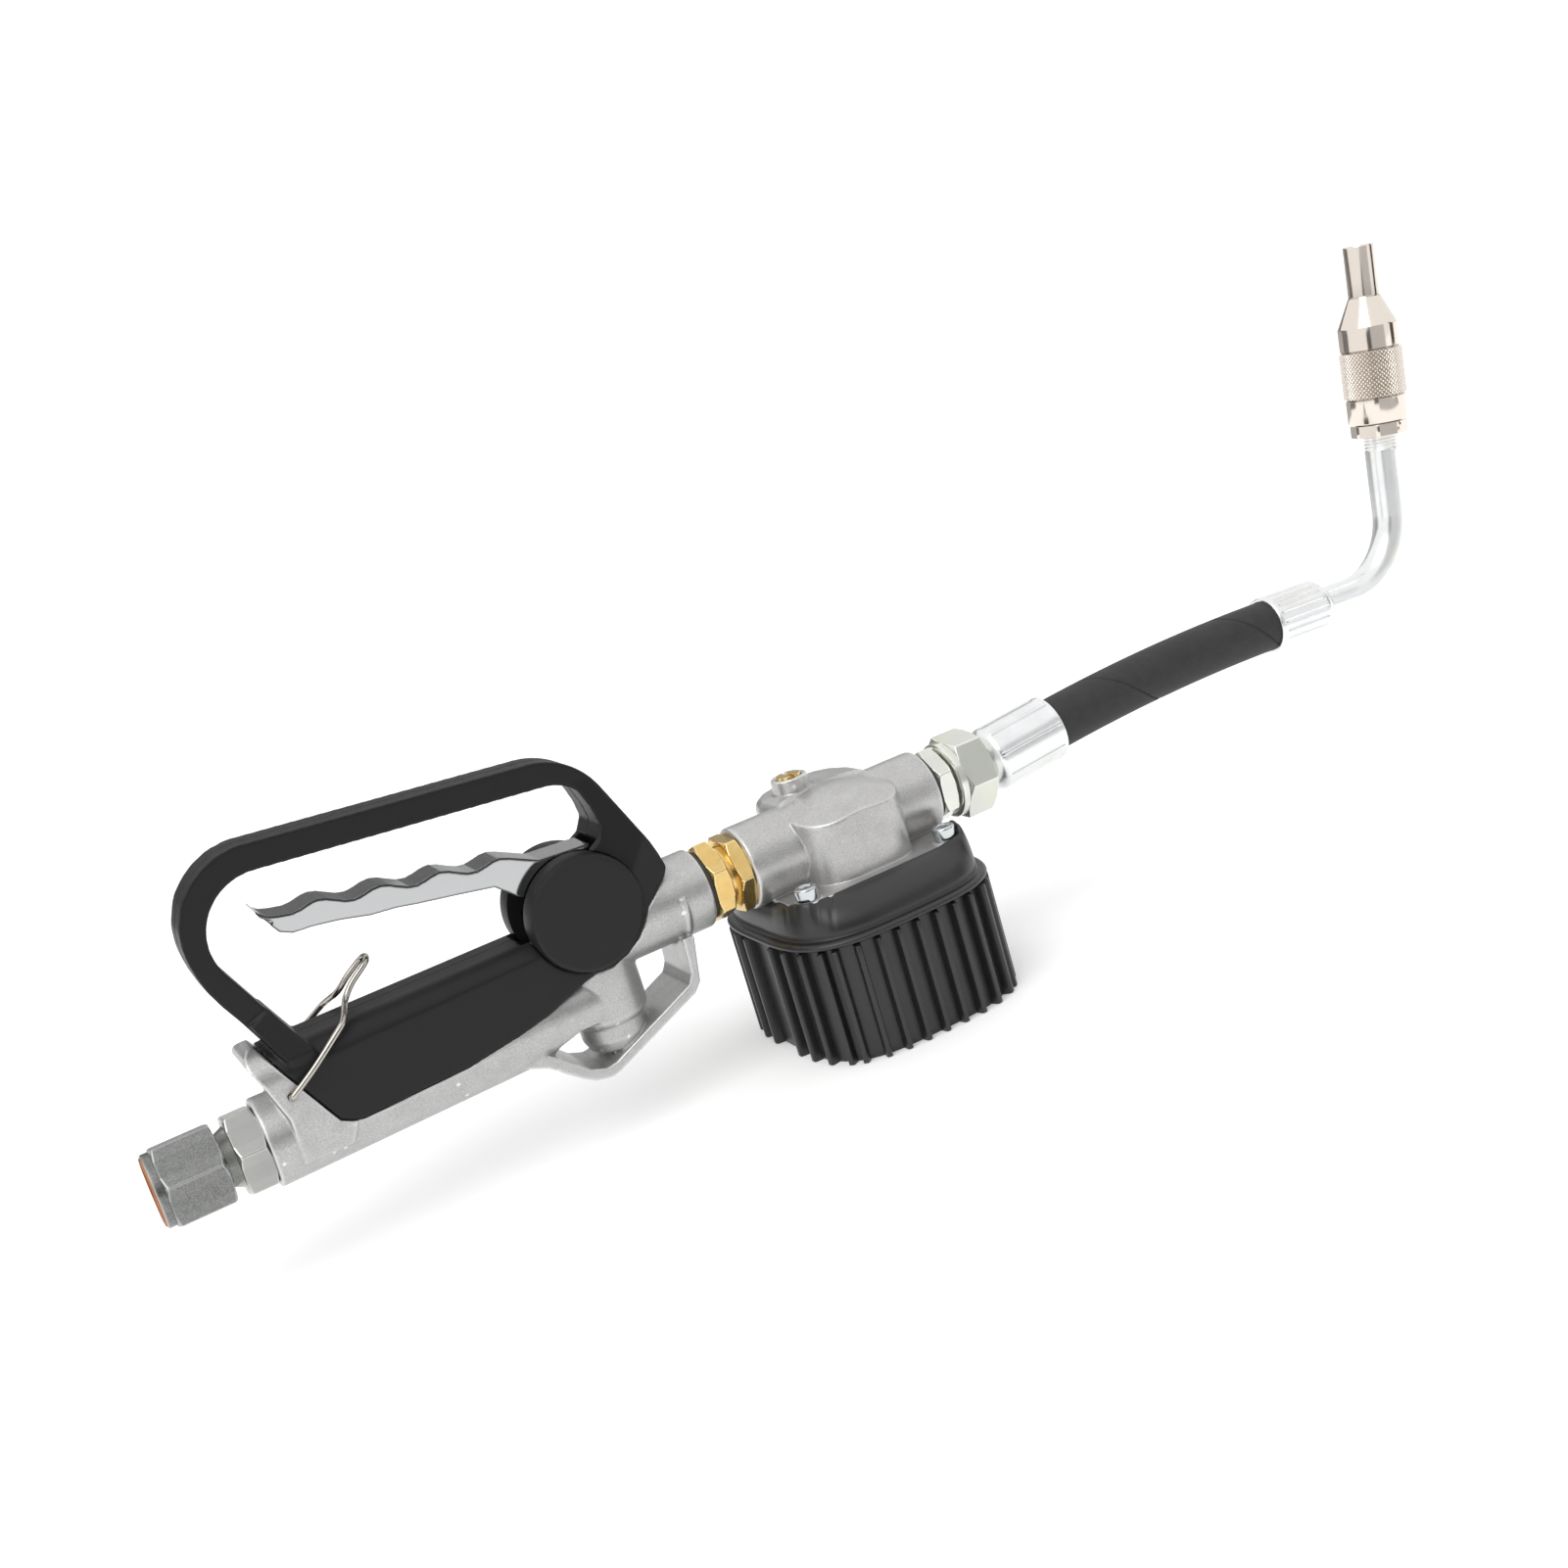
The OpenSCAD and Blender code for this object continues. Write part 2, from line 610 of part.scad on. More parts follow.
// One shell of the cover; side is -1 for the near one and 1 for the far one
module cover_shell(side) {
    inner_half = grip_front_r - cover_wall;
    difference() {
        union() {
            intersection() {
                grip_prism(grip_r, cover_top, cover_round, body_x, cap_x - 2);
                slab_y(side < 0 ? -far : 0, side < 0 ? 0 : far)
                    polygon(cover_outline(0));
                translate([0, 0, -far])
                    linear_extrude(2 * far)
                        polygon([[body_x, -grip_r], [cap_x, -grip_front_r], [cap_x, grip_front_r],
                            [body_x, grip_r]]);
            }
            slab_y(side < 0 ? -guard_half : 0, side < 0 ? 0 : guard_half)
                guard_shape();
            // front block: flares from the guard's front leg to the pivot cap
            intersection() {
                slab_y(side < 0 ? -far : 0, side < 0 ? 0 : far)
                    polygon(concat([[cap_x + 10, cap_z + 48], [cap_x + 20.2, cap_z + 39.5],
                        [cap_x + 23.2, cap_z + 33], [cap_x + 26.3, cap_z + 25.7],
                        [cap_x + 29.1, cap_z + 18.6], [cap_x + 31.4, cap_z + 13.3],
                        [cap_x + 33, cap_z + 8.4], [cap_x + 34.2, cap_z + 3.6]],
                        [for (i = [3:-1:0]) [cap_x + block_edge[i][0], cap_z + block_edge[i][1]]],
                        [for (a = [-32:-16:-80]) [cap_x + (cap_r + 1.5) * cos(a),
                            cap_z + (cap_r + 1.5) * sin(a)]],
                        [[cap_x - 3, 12.5], [cap_x - 20, cap_z - 6], [cap_x - 16, cap_z + 8],
                        [cap_x, cap_z + 18], [cap_x + 9, cap_z + 19], [cap_x + 13.5, cap_z + 21.5],
                        [cap_x + 16, cap_z + 27], [cap_x + 15, cap_z + 33]]));
                tapered_x([[0, block_half], [cap_z + 6, block_half], [cap_z + 27.5, 10.5],
                    [cap_z + 43, guard_half], [cap_z + 60, guard_half]], cap_x - 30, cap_x + 40);
                translate([0, 0, -far])
                    linear_extrude(2 * far)
                        polygon([[cap_x - 40, -block_half], [cap_x + 19, -block_half], [cap_x + 36, -11.2],
                            [cap_x + 36, 11.2], [cap_x + 19, block_half], [cap_x - 40, block_half]]);
            }
            // foot of the guard's rear leg, spread over the cover's shoulder
            intersection() {
                slab_y(side < 0 ? -far : 0, side < 0 ? 0 : far)
                    polygon([[body_x + 8.5, 42], [body_x + 12.9, 31], [body_x + 16, 25.5],
                        [body_x + 25, 24.6],
                        [body_x + 24.4, 28], [body_x + 15.9, 45]]);
                tapered_x([[20, 15.6], [28, 15.6], [46, guard_half]], body_x, body_x + 40);
            }
        }
        // hollow for the casting
        intersection() {
            grip_prism(inner_half, cover_top - cover_wall, cover_round - cover_wall, rear_x - 1, cap_x);
            slab_y(side < 0 ? -inner_half : -1, side < 0 ? 1 : inner_half)
                polygon([[rear_x, -10], [rear_x + 10, cover_top], [cap_x, cover_top], [cap_x, -10]]);
        }
        // room for the trigger's hub
        slab_y(side < 0 ? -cap_inner : -1, side < 0 ? 1 : cap_inner)
            union() {
                    translate([pivot_x, pivot_z])
                        circle(hub_room);
                    polygon([[cap_x - 24, cover_top - 3], [cap_x - 24, 66], [cap_x, 66],
                        [pivot_x + 4, pivot_z + 15.5], [pivot_x + hub_room, pivot_z + 3],
                        [pivot_x + hub_room, pivot_z - 14], [cap_x, 5]]);
            }
        // room for the ears and the outlet boss
        slab_y(side < 0 ? -13.2 : -1, side < 0 ? 1 : 13.2)
            union() {
                translate([pivot_x, pivot_z])
                    circle(ear_r + 0.7);
                translate([pivot_x - ear_r - 0.7, outlet_rise])
                    square([2 * ear_r + 1.4, pivot_z - outlet_rise]);
                polygon([[valve_x - 15, 5], [valve_x - 15, 36], [cap_x + 19, 36], [cap_x + 19, 5]]);
            }
        bar_x(valve_x, out_x, outlet_r - cover_wall, outlet_rise);
        translate([valve_x, 0, 0])
            cylinder(h = 31, r = 12.9);
        // seat of the pivot cap
        slab_y(side < 0 ? -far : cap_inner, side < 0 ? -cap_inner : far)
            translate([cap_x, cap_z])
                circle(cap_r + seat_fit);
        // slot for the latch wire and hole for the screw
        slab_y(-cover_screw_end - 0.3, far)
            translate([cover_screw_x, cover_screw_z])
                circle(side < 0 ? 1.7 : 2.1);
        slab_y(grip_front_r, far)
            translate([cover_screw_x, cover_screw_z])
                circle(3.5);
    }
}

module grip_cover_near() {
    color([0.12, 0.12, 0.12])
        cover_shell(-1);
}

module grip_cover_far() {
    color([0.12, 0.12, 0.12])
        cover_shell(1);
}

// Snap cap over one end of the trigger's pivot
module pivot_cap(side) {
    difference() {
        translate([cap_x, 0, cap_z])
            rotate([side < 0 ? 90 : -90, 0, 0])
                rotate_extrude($fn = 96)
                    polygon([[0, cap_inner], [cap_r, cap_inner], [cap_r, cap_face - 1.6],
                        [cap_r - 0.5, cap_face - 0.5], [cap_r - 1.6, cap_face], [0, cap_face]]);
        // hollow over the ear
        slab_y(side < 0 ? -cap_face + cap_wall : cap_inner - 1,
                side < 0 ? -cap_inner + 1 : cap_face - cap_wall)
            intersection() {
                translate([cap_x, cap_z])
                    circle(cap_r - cap_wall);
                union() {
                    translate([pivot_x, pivot_z])
                        circle(8);
                    translate([pivot_x - 7.2, 0])
                        square([14.4, pivot_z]);
                    translate([valve_x - 15, 0])
                        square([60, 37]);
                }
            }
        bar_x(valve_x, out_x, outlet_r - cover_wall, outlet_rise);
        translate([valve_x, 0, 0])
            cylinder(h = 31, r = 12.3);
    }
}

module pivot_cap_near() {
    color([0.14, 0.14, 0.14])
        pivot_cap(-1);
}

module pivot_cap_far() {
    color([0.14, 0.14, 0.14])
        pivot_cap(1);
}

module cover_screws() {
    color("dimgray")
        translate([cover_screw_x, 0, cover_screw_z])
            rotate([-90, 0, 0])
                difference() {
                    union() {
                        translate([0, 0, -cover_screw_end])
                            cylinder(h = cover_screw_end + grip_front_r + 0.5, r = 1.65);
                        translate([0, 0, grip_front_r])
                            cylinder(h = 1.6, r = 3.2);
                    }
                    translate([-3.5, -0.5, grip_front_r + 0.8])
                        cube([7, 1, 2]);
                }
}

module trigger_pin() {
    color("gainsboro")
        slab_y(-14.4, 14.4)
            translate([pivot_x, pivot_z])
                circle(pivot_pin_r);
}

module pin_clips() {
    color("dimgray")
        for (s = [-1, 1])
            slab_y(s * 13.4 - 0.5, s * 13.4 + 0.5)
                translate([pivot_x, pivot_z])
                    difference() {
                        circle(4.4);
                        circle(pivot_pin_r);
                        translate([-1.6, -6])
                            square([3.2, 6]);
                    }
}

// ---- inlet ----

module inlet_adapter() {
    color("lightgray")
        difference() {
            union() {
                spun_x([[adapter_flange_x, 0], [adapter_flange_x, adapter_flange_r - 1],
                    [adapter_flange_x + 1, adapter_flange_r],
                    [swivel_len - swivel_back_wall - 0.4, adapter_flange_r],
                    [swivel_len - swivel_back_wall - 0.4, neck_r], [neck_end + 1, neck_r],
                    [neck_end + 1, 0]]);
                spun_x([[swivel_len + 0.6, 0], [swivel_len + 0.6, neck_r + 1.6], [neck_end, neck_r + 3],
                    [neck_end, 0]]);
                hex_x(neck_end, body_x, swivel_af, 17);
                bar_x(body_x - 1, body_x + adapter_thread_len, adapter_thread_r, 0);
            }
            bar_x(adapter_flange_x - 1, body_x + adapter_thread_len + 1, flow_r, 0);
            bar_x(adapter_flange_x - 1, adapter_flange_x + 10, flow_r + 1.2, 0);
        }
}

module inlet_strainer() {
    strainer_r = flow_r + 1.2 - seat_fit;
    color("darkgray")
        difference() {
            union() {
                bar_x(adapter_flange_x + 1, adapter_flange_x + 2.5, strainer_r, 0);
                bar_x(adapter_flange_x + 2, adapter_flange_x + 9.9, strainer_r - 1, 0);
            }
            bar_x(adapter_flange_x, adapter_flange_x + 9, strainer_r - 1.6, 0);
            for (i = [0:3], a = [0:60:359])
                translate([adapter_flange_x + 3.6 + 1.5 * i, 0, 0])
                    rotate([a + 30 * (i % 2), 0, 0])
                        cylinder(h = far, r = 0.5, $fn = 16);
        }
}

module swivel_nut() {
    color("gray")
        difference() {
            union() {
                spun_x([[0, 0], [0, 12.6], [0.4, 13], [3, 13], [3, 0]]);
                hex_x(3, swivel_len, swivel_af, 15);
            }
            bar_x(-1, inlet_thread_len, inlet_thread_r, 0);
            spun_x([[-1, 10.85], [-1, 12.2], [1, 12.2], [1, 10.85]]);
            bar_x(inlet_thread_len, swivel_len - swivel_back_wall, adapter_flange_r + 0.6, 0);
            bar_x(swivel_len - swivel_back_wall - 1, swivel_len + 1, neck_r + run_fit, 0);
        }
}

module inlet_washer() {
    color("peru")
        spun_x([[-0.5, 10.9], [-0.5, 11.9], [-0.2, 12.15], [1, 12.15], [1, 10.9]]);
}

module swivel_clip() {
    clip_x = inlet_thread_len + 3;
    color("dimgray")
        spun_x([[clip_x, adapter_flange_r + 0.25], [clip_x, adapter_flange_r + 0.6],
            [clip_x + 1, adapter_flange_r + 0.6], [clip_x + 1, adapter_flange_r + 0.25]]);
}

// ---- valve ----

module valve_seat() {
    color("goldenrod")
        translate([valve_x, 0, seat_z])
            difference() {
                cylinder(h = seat_t, r = valve_bore_r - seat_fit);
                translate([0, 0, -1])
                    cylinder(h = seat_t + 2, r = seat_r);
            }
}

module stem_gland() {
    color("goldenrod")
        translate([valve_x, 0, 0])
            difference() {
                union() {
                    translate([0, 0, seat_z + seat_t])
                        cylinder(h = 5, r = valve_bore_r - seat_fit);
                    translate([0, 0, gland_z])
                        cylinder(h = gland_top - gland_z, r = valve_bore_r - seat_fit);
                    for (a = [45:90:359])
                        rotate([0, 0, a])
                            translate([valve_bore_r - 2.2, -1.2, seat_z + seat_t + 1])
                                cube([1.8, 2.4, gland_z - seat_z - seat_t]);
                }
                translate([0, 0, seat_z])
                    cylinder(h = gland_z - seat_z - 0.5, r = seat_r + 0.5);
                cylinder(h = far, r = stem_r + run_fit);
                translate([0, 0, gland_z + 2])
                    cylinder(h = 2.4, r = stem_r + 1.6);
            }
}

module gland_seal() {
    color("black")
        translate([valve_x, 0, gland_z + 2.1])
            rotate_extrude()
                translate([stem_r + run_fit, 0])
                    square([1.45, 2.2]);
}

module valve_stem() {
    color("gainsboro")
        translate([valve_x, 0, 0]) {
            translate([0, 0, seat_z - poppet_t])
                cylinder(h = stem_top - seat_z + poppet_t, r = stem_r);
            translate([0, 0, seat_z - poppet_t - 0.6])
                cylinder(h = poppet_t - 1.2, r = seat_r + 1.6);
            translate([0, 0, seat_z - poppet_t - 4])
                cylinder(h = 4, r = spring_r - spring_wire_r - 0.3);
        }
}

module poppet_seal() {
    color("black")
        translate([valve_x, 0, seat_z - 1.8])
            rotate_extrude()
                translate([stem_r, 0])
                    square([seat_r + 1.4 - stem_r, 1.8]);
}

// Valve spring: one unbroken helix between the chamber floor and the poppet
spring_z0 = chamber_floor + spring_wire_r;
spring_z1 = seat_z - poppet_t - 0.6 - spring_wire_r;
spring_turns = 5;
spring_steps = 10;
spring_path = [for (i = [0:spring_turns * spring_steps]) let (a = 360 * i / spring_steps)
    [spring_r * cos(a), spring_r * sin(a),
        spring_z0 + (spring_z1 - spring_z0) * i / (spring_turns * spring_steps)]];
echo(spring_least_gap = (spring_z1 - spring_z0) / spring_turns - 2 * spring_wire_r);

module valve_spring() {
    color("dimgray")
        translate([valve_x, 0, 0])
            swept_wire(spring_path, spring_wire_r, 6, [0, 0, 1]);
}

// ---- trigger ----

// Height of the trigger's web along X: a sloping line with finger scallops
web_x0 = pivot_x - 113;
web_x1 = pivot_x - 26;
web_z0 = pivot_z + 33.2;
web_slope = -0.17;
wave = 1.4;
wave_pitch = (web_x1 - web_x0) / (scallops + 0.2);
function web_z(x) = web_z0 + web_slope * (x - web_x0)
    + wave * cos(360 * (x - web_x0 - wave_pitch) / wave_pitch);
web_line = concat([[web_x0, web_z0 + 2.4], [web_x0 + 0.9, web_z0 + 0.6], [web_x0 + 3, web_z0 - 1.2],
    [web_x0 + 6, web_z0 - 2.2]],
    [for (x = [web_x0 + 11:3:web_x1 - 1]) [x, web_z(x)]],
    [[pivot_x - 17, pivot_z + 14.5], [pivot_x + 2, pivot_z + 13.2]]);

// Lower edge of the trigger's side plates, from the pivot to the free end
plate_edge = [[6.4, 1.4], [4, -5], [0, -6.4], [-14, -6.5], [-28, 5], [-35, 11.5], [-48, 14], [-62, 16.5],
    [-69, 18], [-78, 19], [-88, 21.5], [-97, 23], [-104, 23.5], [-108, 25.5], [-110, 29]];

function lower_line(drop) = [for (i = [len(web_line) - 1:-1:0]) [web_line[i][0], web_line[i][1] - drop]];

module trigger_lever() {
    color("whitesmoke")
        difference() {
            union() {
                slab_y(-trigger_half, trigger_half)
                    polygon(concat(web_line, lower_line(trigger_t)));
                for (s = [-1, 1])
                    slab_y(s * (trigger_half - trigger_t / 2) - trigger_t / 2,
                        s * (trigger_half - trigger_t / 2) + trigger_t / 2) {
                        polygon(concat([for (i = [3:len(web_line) - 1]) web_line[i]],
                            [for (p = plate_edge) [pivot_x + p[0], pivot_z + p[1]]]));
                        translate([pivot_x, pivot_z])
                            circle(6.4);
                    }
            }
            slab_y(-far, far)
                translate([pivot_x, pivot_z])
                    circle(pivot_pin_r + run_fit);
            slab_y(-far, far)
                translate([roller_x, roller_z])
                    circle(2 + seat_fit);
        }
}

module trigger_roller() {
    color("gainsboro") {
        slab_y(-trigger_half, trigger_half)
            translate([roller_x, roller_z])
                circle(2);
        slab_y(-trigger_half + trigger_t + 0.2, trigger_half - trigger_t - 0.2)
            translate([roller_x, roller_z])
                circle(roller_r);
    }
}

// Latch wire: a bail that straddles the cover and narrows to a loop
latch_x = body_x + 12;
latch_z = 16.5;
latch_half = [[latch_x, 13, latch_z], [latch_x, 17.2, latch_z], [latch_x + 0.7, 18.2, latch_z + 0.5],
    [latch_x + 10, 18, latch_z + 6.6], [latch_x + 23, 14.9, latch_z + 15.1],
    [latch_x + 25.2, 13, latch_z + 16.7], [latch_x + 28, 7, latch_z + 19.6],
    [latch_x + 29.6, 5, latch_z + 21.2], [latch_x + 33, 4, latch_z + 24.5],
    [latch_x + 38.5, 3.6, latch_z + 28.2], [latch_x + 40.2, 2.6, latch_z + 29.3],
    [latch_x + 40.8, 1, latch_z + 29.7]];
latch_last = len(latch_half) - 1;
latch_path = concat([for (p = latch_half) [p[0], -p[1], p[2]]],
    [for (i = [latch_last:-1:0]) latch_half[i]]);

module latch_wire() {
    color("lightsteelblue")
        swept_wire(latch_path, latch_wire_r, 12, [-0.55, 0, 0.83]);
}

// ---- brass union ----

module outlet_washer() {
    color("dimgray")
        difference() {
            bar_x(out_x, out_x + 1.8, 13, outlet_rise);
            bar_x(out_x - 1, out_x + 3, port_r + seat_fit, outlet_rise);
        }
}

module brass_nipple() {
    color("goldenrod")
        difference() {
            union() {
                bar_x(out_x - port_len + 1, out_x + 2, port_r, outlet_rise);
                hex_x(out_x + 1.8, out_x + 8.6, swivel_af, 5, outlet_rise);
                bar_x(out_x + 8, meter_x0 + port_len - 1, port_r, outlet_rise);
            }
            bar_x(out_x - port_len, meter_x0 + port_len, 7, outlet_rise);
        }
}

module brass_lock_nut() {
    color("goldenrod")
        difference() {
            union() {
                hex_x(out_x + 11.6, meter_x0, swivel_af, 30, outlet_rise);
                bar_x(out_x + 9.4, out_x + 12, 11.5, outlet_rise);
            }
            bar_x(out_x + 8, meter_x0 + 1, port_r + seat_fit, outlet_rise);
        }
}

// ---- meter ----

module meter_frame() {
    translate([meter_x, 0, 0])
        children();
}

module meter_body() {
    color("silver")
        difference() {
            union() {
                bar_x(meter_x0 + 0.5, meter_x1 - 0.5, meter_tube_r, outlet_rise);
                bar_x(meter_x0, meter_x1, meter_tube_r - 0.5, outlet_rise);
                meter_frame() {
                    intersection() {
                        translate([0, 0, flange_z0])
                            linear_extrude(60)
                                round_rect(drum_half_x, drum_half_y, drum_round);
                        translate([0, 0, drum_top - 53.6])
                            sphere(53.6, $fn = 128);
                    }
                    translate([0, 0, flange_z0])
                        linear_extrude(flange_z1 - flange_z0)
                            plate_outline(0);
                    for (sx = [-1, 1], sy = [-1, 1])
                        translate([sx * screw_dx, sy * screw_dy, flange_z0])
                            cylinder(h = flange_z1 - flange_z0 + 0.8, r = boss_screw_r);
                    translate([boss_dx, boss_dy, 30])
                        cylinder(h = boss_top - 30, r1 = 8, r2 = 7);
                }
            }
            // gear room and flow bores
            meter_frame() {
                for (s = [-1, 1])
                    translate([0, s * gear_y, flange_z0 - 1])
                        cylinder(h = gear_z1 - flange_z0 + 1.6, r = gear_room_r);
                for (sx = [-1, 1], sy = [-1, 1])
                    translate([sx * screw_dx, sy * screw_dy, 0])
                        cylinder(h = 30, r = meter_screw_r + 0.2);
                translate([boss_dx, boss_dy, boss_top - 9])
                    cylinder(h = 20, r = 4 + seat_fit);
                translate([boss_dx, boss_dy, boss_top - 1.5])
                    cylinder(h = 20, r = 5.1);
            }
            bar_x(meter_x0 - 1, meter_x - 7, 6.5, outlet_rise);
            bar_x(meter_x + 7, meter_x1 + 1, 6.5, outlet_rise);
            bar_x(meter_x0 - 1, meter_x0 + port_len, port_r + seat_fit, outlet_rise);
            bar_x(meter_x1 - port_len, meter_x1 + 1, port_r + seat_fit, outlet_rise);
        }
}

module plate_outline(inset) {
    round_rect(plate_x - inset, plate_y - inset, plate_round - inset);
}

module screw_holes(z, h, r) {
    for (sx = [-1, 1], sy = [-1, 1])
        translate([sx * screw_dx, sy * screw_dy, z])
            cylinder(h = h, r = r);
}

module meter_gasket() {
    color("black")
        meter_frame()
            difference() {
                translate([0, 0, plate_z1])
                    linear_extrude(gasket_t)
                        plate_outline(0.3);
                for (s = [-1, 1])
                    translate([0, s * gear_y, 0])
                        cylinder(h = 10, r = gear_room_r + 0.5);
                screw_holes(0, 10, meter_screw_r + 0.3);
            }
}

module gear_plate() {
    color("silver")
        meter_frame()
            difference() {
                union() {
                    translate([0, 0, plate_z0])
                        linear_extrude(plate_z1 - plate_z0)
                            plate_outline(0);
                    for (s = [-1, 1])
                        translate([0, s * gear_y, plate_z0])
                            cylinder(h = flange_z0 - plate_z0, r = gear_room_r - seat_fit);
                }
                for (s = [-1, 1])
                    translate([0, s * gear_y, plate_z0 + 1])
                        cylinder(h = 10, r = 2);
                screw_holes(-10, 20, meter_screw_r + 0.2);
            }
}

module gear_shafts() {
    color("gainsboro")
        meter_frame()
            for (s = [-1, 1])
                translate([0, s * gear_y, plate_z0 + 1])
                    cylinder(h = gear_z1 - plate_z0 - 0.6, r = 2);
}

// Pitch curve of an oval gear
function oval(a, b) = [for (t = [0:5:355]) let (r = 2 * a * b / ((a + b) - (a - b) * cos(2 * t)))
    [r * cos(t), r * sin(t)]];

module oval_gear(turn) {
    difference() {
        translate([0, 0, gear_z0])
            linear_extrude(gear_z1 - gear_z0)
                rotate(turn)
                    polygon(oval(gear_a, gear_b));
        cylinder(h = far, r = 2 + run_fit);
    }
}

module gear_a_rotor() {
    color("dimgray")
        meter_frame()
            translate([0, -gear_y, 0])
                oval_gear(0);
}

module gear_b_rotor() {
    color("dimgray")
        meter_frame()
            translate([0, gear_y, 0])
                oval_gear(90);
}

module meter_screws() {
    head_z = flange_z1 + 0.8;
    color("gainsboro")
        meter_frame()
            for (sx = [-1, 1], sy = [-1, 1])
                translate([sx * screw_dx, sy * screw_dy, 0])
                    difference() {
                        union() {
                            translate([0, 0, head_z - 22])
                                cylinder(h = 22.5, r = meter_screw_r);
                            translate([0, 0, head_z])
                                cylinder(h = 5, r = 4.25);
                        }
                        translate([0, 0, head_z + 2.4])
                            cylinder(h = 10, r = 4 / sqrt(3), $fn = 6);
                    }
}

module brass_plug() {
    color("goldenrod")
        meter_frame()
            translate([boss_dx, boss_dy, 0])
                difference() {
                    union() {
                        translate([0, 0, boss_top - 8.5])
                            cylinder(h = 8, r = 4);
                        translate([0, 0, boss_top - 1.5])
                            cylinder(h = 2.2, r1 = 5, r2 = 4.5);
                    }
                    translate([-0.8, -6, boss_top - 0.9])
                        cube([1.6, 12, 5]);
                }
}

// ---- display ----

module display_housing() {
    color([0.2, 0.2, 0.2])
        meter_frame()
            difference() {
                union() {
                    difference() {
                        translate([0, 0, housing_bottom])
                            linear_extrude(housing_top - housing_bottom)
                                plan(housing_x, housing_y);
                        translate([0, 0, housing_bottom - 1])
                            linear_extrude(housing_top - housing_bottom - 3)
                                plan(housing_x - 3, housing_y - 3);
                    }
                    screw_holes(-24, 21, 5.2);
                    // frame that holds the window
                    translate([0, 0, housing_bottom])
                        linear_extrude(2.5)
                            difference() {
                                plan(housing_x - 2, housing_y - 2);
                                square(2 * window_half, center = true);
                            }
                }
                screw_holes(-16, 20, meter_screw_r + 0.02);
            }
}

module display_window() {
    color([0.6, 0.7, 0.7])
        meter_frame()
            difference() {
                translate([-window_half + 0.1, -window_half + 0.1, housing_bottom])
                    cube([2 * window_half - 0.2, 2 * window_half - 0.2, 2]);
                for (s = [-1, 1])
                    translate([s * button_dx, button_dy, housing_bottom - 1])
                        cylinder(h = 5, r = button_r + run_fit);
            }
}

module display_screen() {
    color([0.5, 0.55, 0.45])
        meter_frame()
            translate([-screen_len / 2, -8, housing_bottom + 2.2])
                cube([screen_len, screen_wide, board_z - 2.2]);
}

module display_board() {
    color("darkgreen")
        meter_frame() {
            translate([-board_half, -board_half, housing_bottom + board_z])
                cube([2 * board_half, 2 * board_half, board_t]);
            for (sx = [-1, 1], sy = [-1, 1])
                translate([sx * (board_half - 3), sy * (board_half - 2), housing_bottom + 2.5])
                    cylinder(h = board_z - 2.3, r = 1.5);
        }
}

module battery() {
    color("steelblue")
        meter_frame()
            translate([-battery_wide / 2, -battery_len / 2, housing_bottom + board_z + board_t])
                cube([battery_wide, battery_len, battery_thick]);
}

module battery_clip() {
    clip_y = battery_len / 2 + 0.75;
    color([0.2, 0.2, 0.2])
        meter_frame()
            translate([-clip_wide / 2, 0, housing_bottom + board_z + board_t]) {
                translate([0, -clip_y - clip_t, battery_thick])
                    cube([clip_wide, 2 * (clip_y + clip_t), clip_t]);
                for (y = [-clip_y - clip_t, clip_y])
                    translate([0, y, 0])
                        cube([clip_wide, clip_t, battery_thick + 1]);
            }
}

module button(side) {
    color([0.35, 0.35, 0.36])
        meter_frame()
            translate([side * button_dx, button_dy, 0]) {
                translate([0, 0, housing_bottom - 1])
                    cylinder(h = 4, r = button_r);
                translate([0, 0, housing_bottom + 2.2])
                    cylinder(h = 1, r = button_r + 1);
            }
}

module button_left() {
    button(-1);
}

module button_right() {
    button(1);
}

// Boot: wall with ribs, a bead, and a shoulder that draws in to the lip
bead_z = -5;
lip_z = 10.5;
shoulder_outer = [[-7, 0, 0], [-6.4, -1.6, -1.6], [-3.6, -1.6, -1.6], [-3, -0.4, -0.4], [2, 0.8, 1.5],
    [6, 2.8, 5.5], [9, 5, 11], [lip_z, 7.4, 14]];
shoulder_inner = [[lip_z - 0.6, 8.6, 15.3], [7, 6.6, 12.2], [4, 5.2, 8], [0, 3.4, 4.2], [-7, 3, 3]];
loft_count = 48;

function loft_ring(row) = [for (p = plan_points(wall_x + 1.5 - row[1], wall_y + 1.5 - row[2], loft_count))
    [p[0], p[1], row[0]]];

module loft(rows) {
    n = len(rows);
    points = [for (row = rows) each loft_ring(row)];
    m = loft_count;
    polyhedron(points = points,
        faces = concat(
            [for (i = [0:n - 1], k = [0:m - 1]) [i * m + k, ((i + 1) % n) * m + k, i * m + (k + 1) % m]],
            [for (i = [0:n - 1], k = [0:m - 1]) [i * m + (k + 1) % m, ((i + 1) % n) * m + k,
                ((i + 1) % n) * m + (k + 1) % m]]));
}

// Ribs: places on the plan and the way each one points
rib_places = concat(
    [for (i = [-4:4], s = [-1, 1]) let (x = i * rib_pitch,
        y = wall_y * pow(1 - pow(abs(x) / wall_x, plan_power), 1 / plan_power))
        [x, s * y, s * (90 - 6 * i * abs(i) / 4)]],
    [for (y = [15.5, 24.5, 33.2], t = [-1, 1], s = [-1, 1]) let (
        x = wall_x * pow(1 - pow(y / wall_y, plan_power), 1 / plan_power),
        lean = (y > 30 ? 22 : y > 20 ? 6 : 2))
        [s * x, t * y, s > 0 ? t * lean : 180 - t * lean]]);

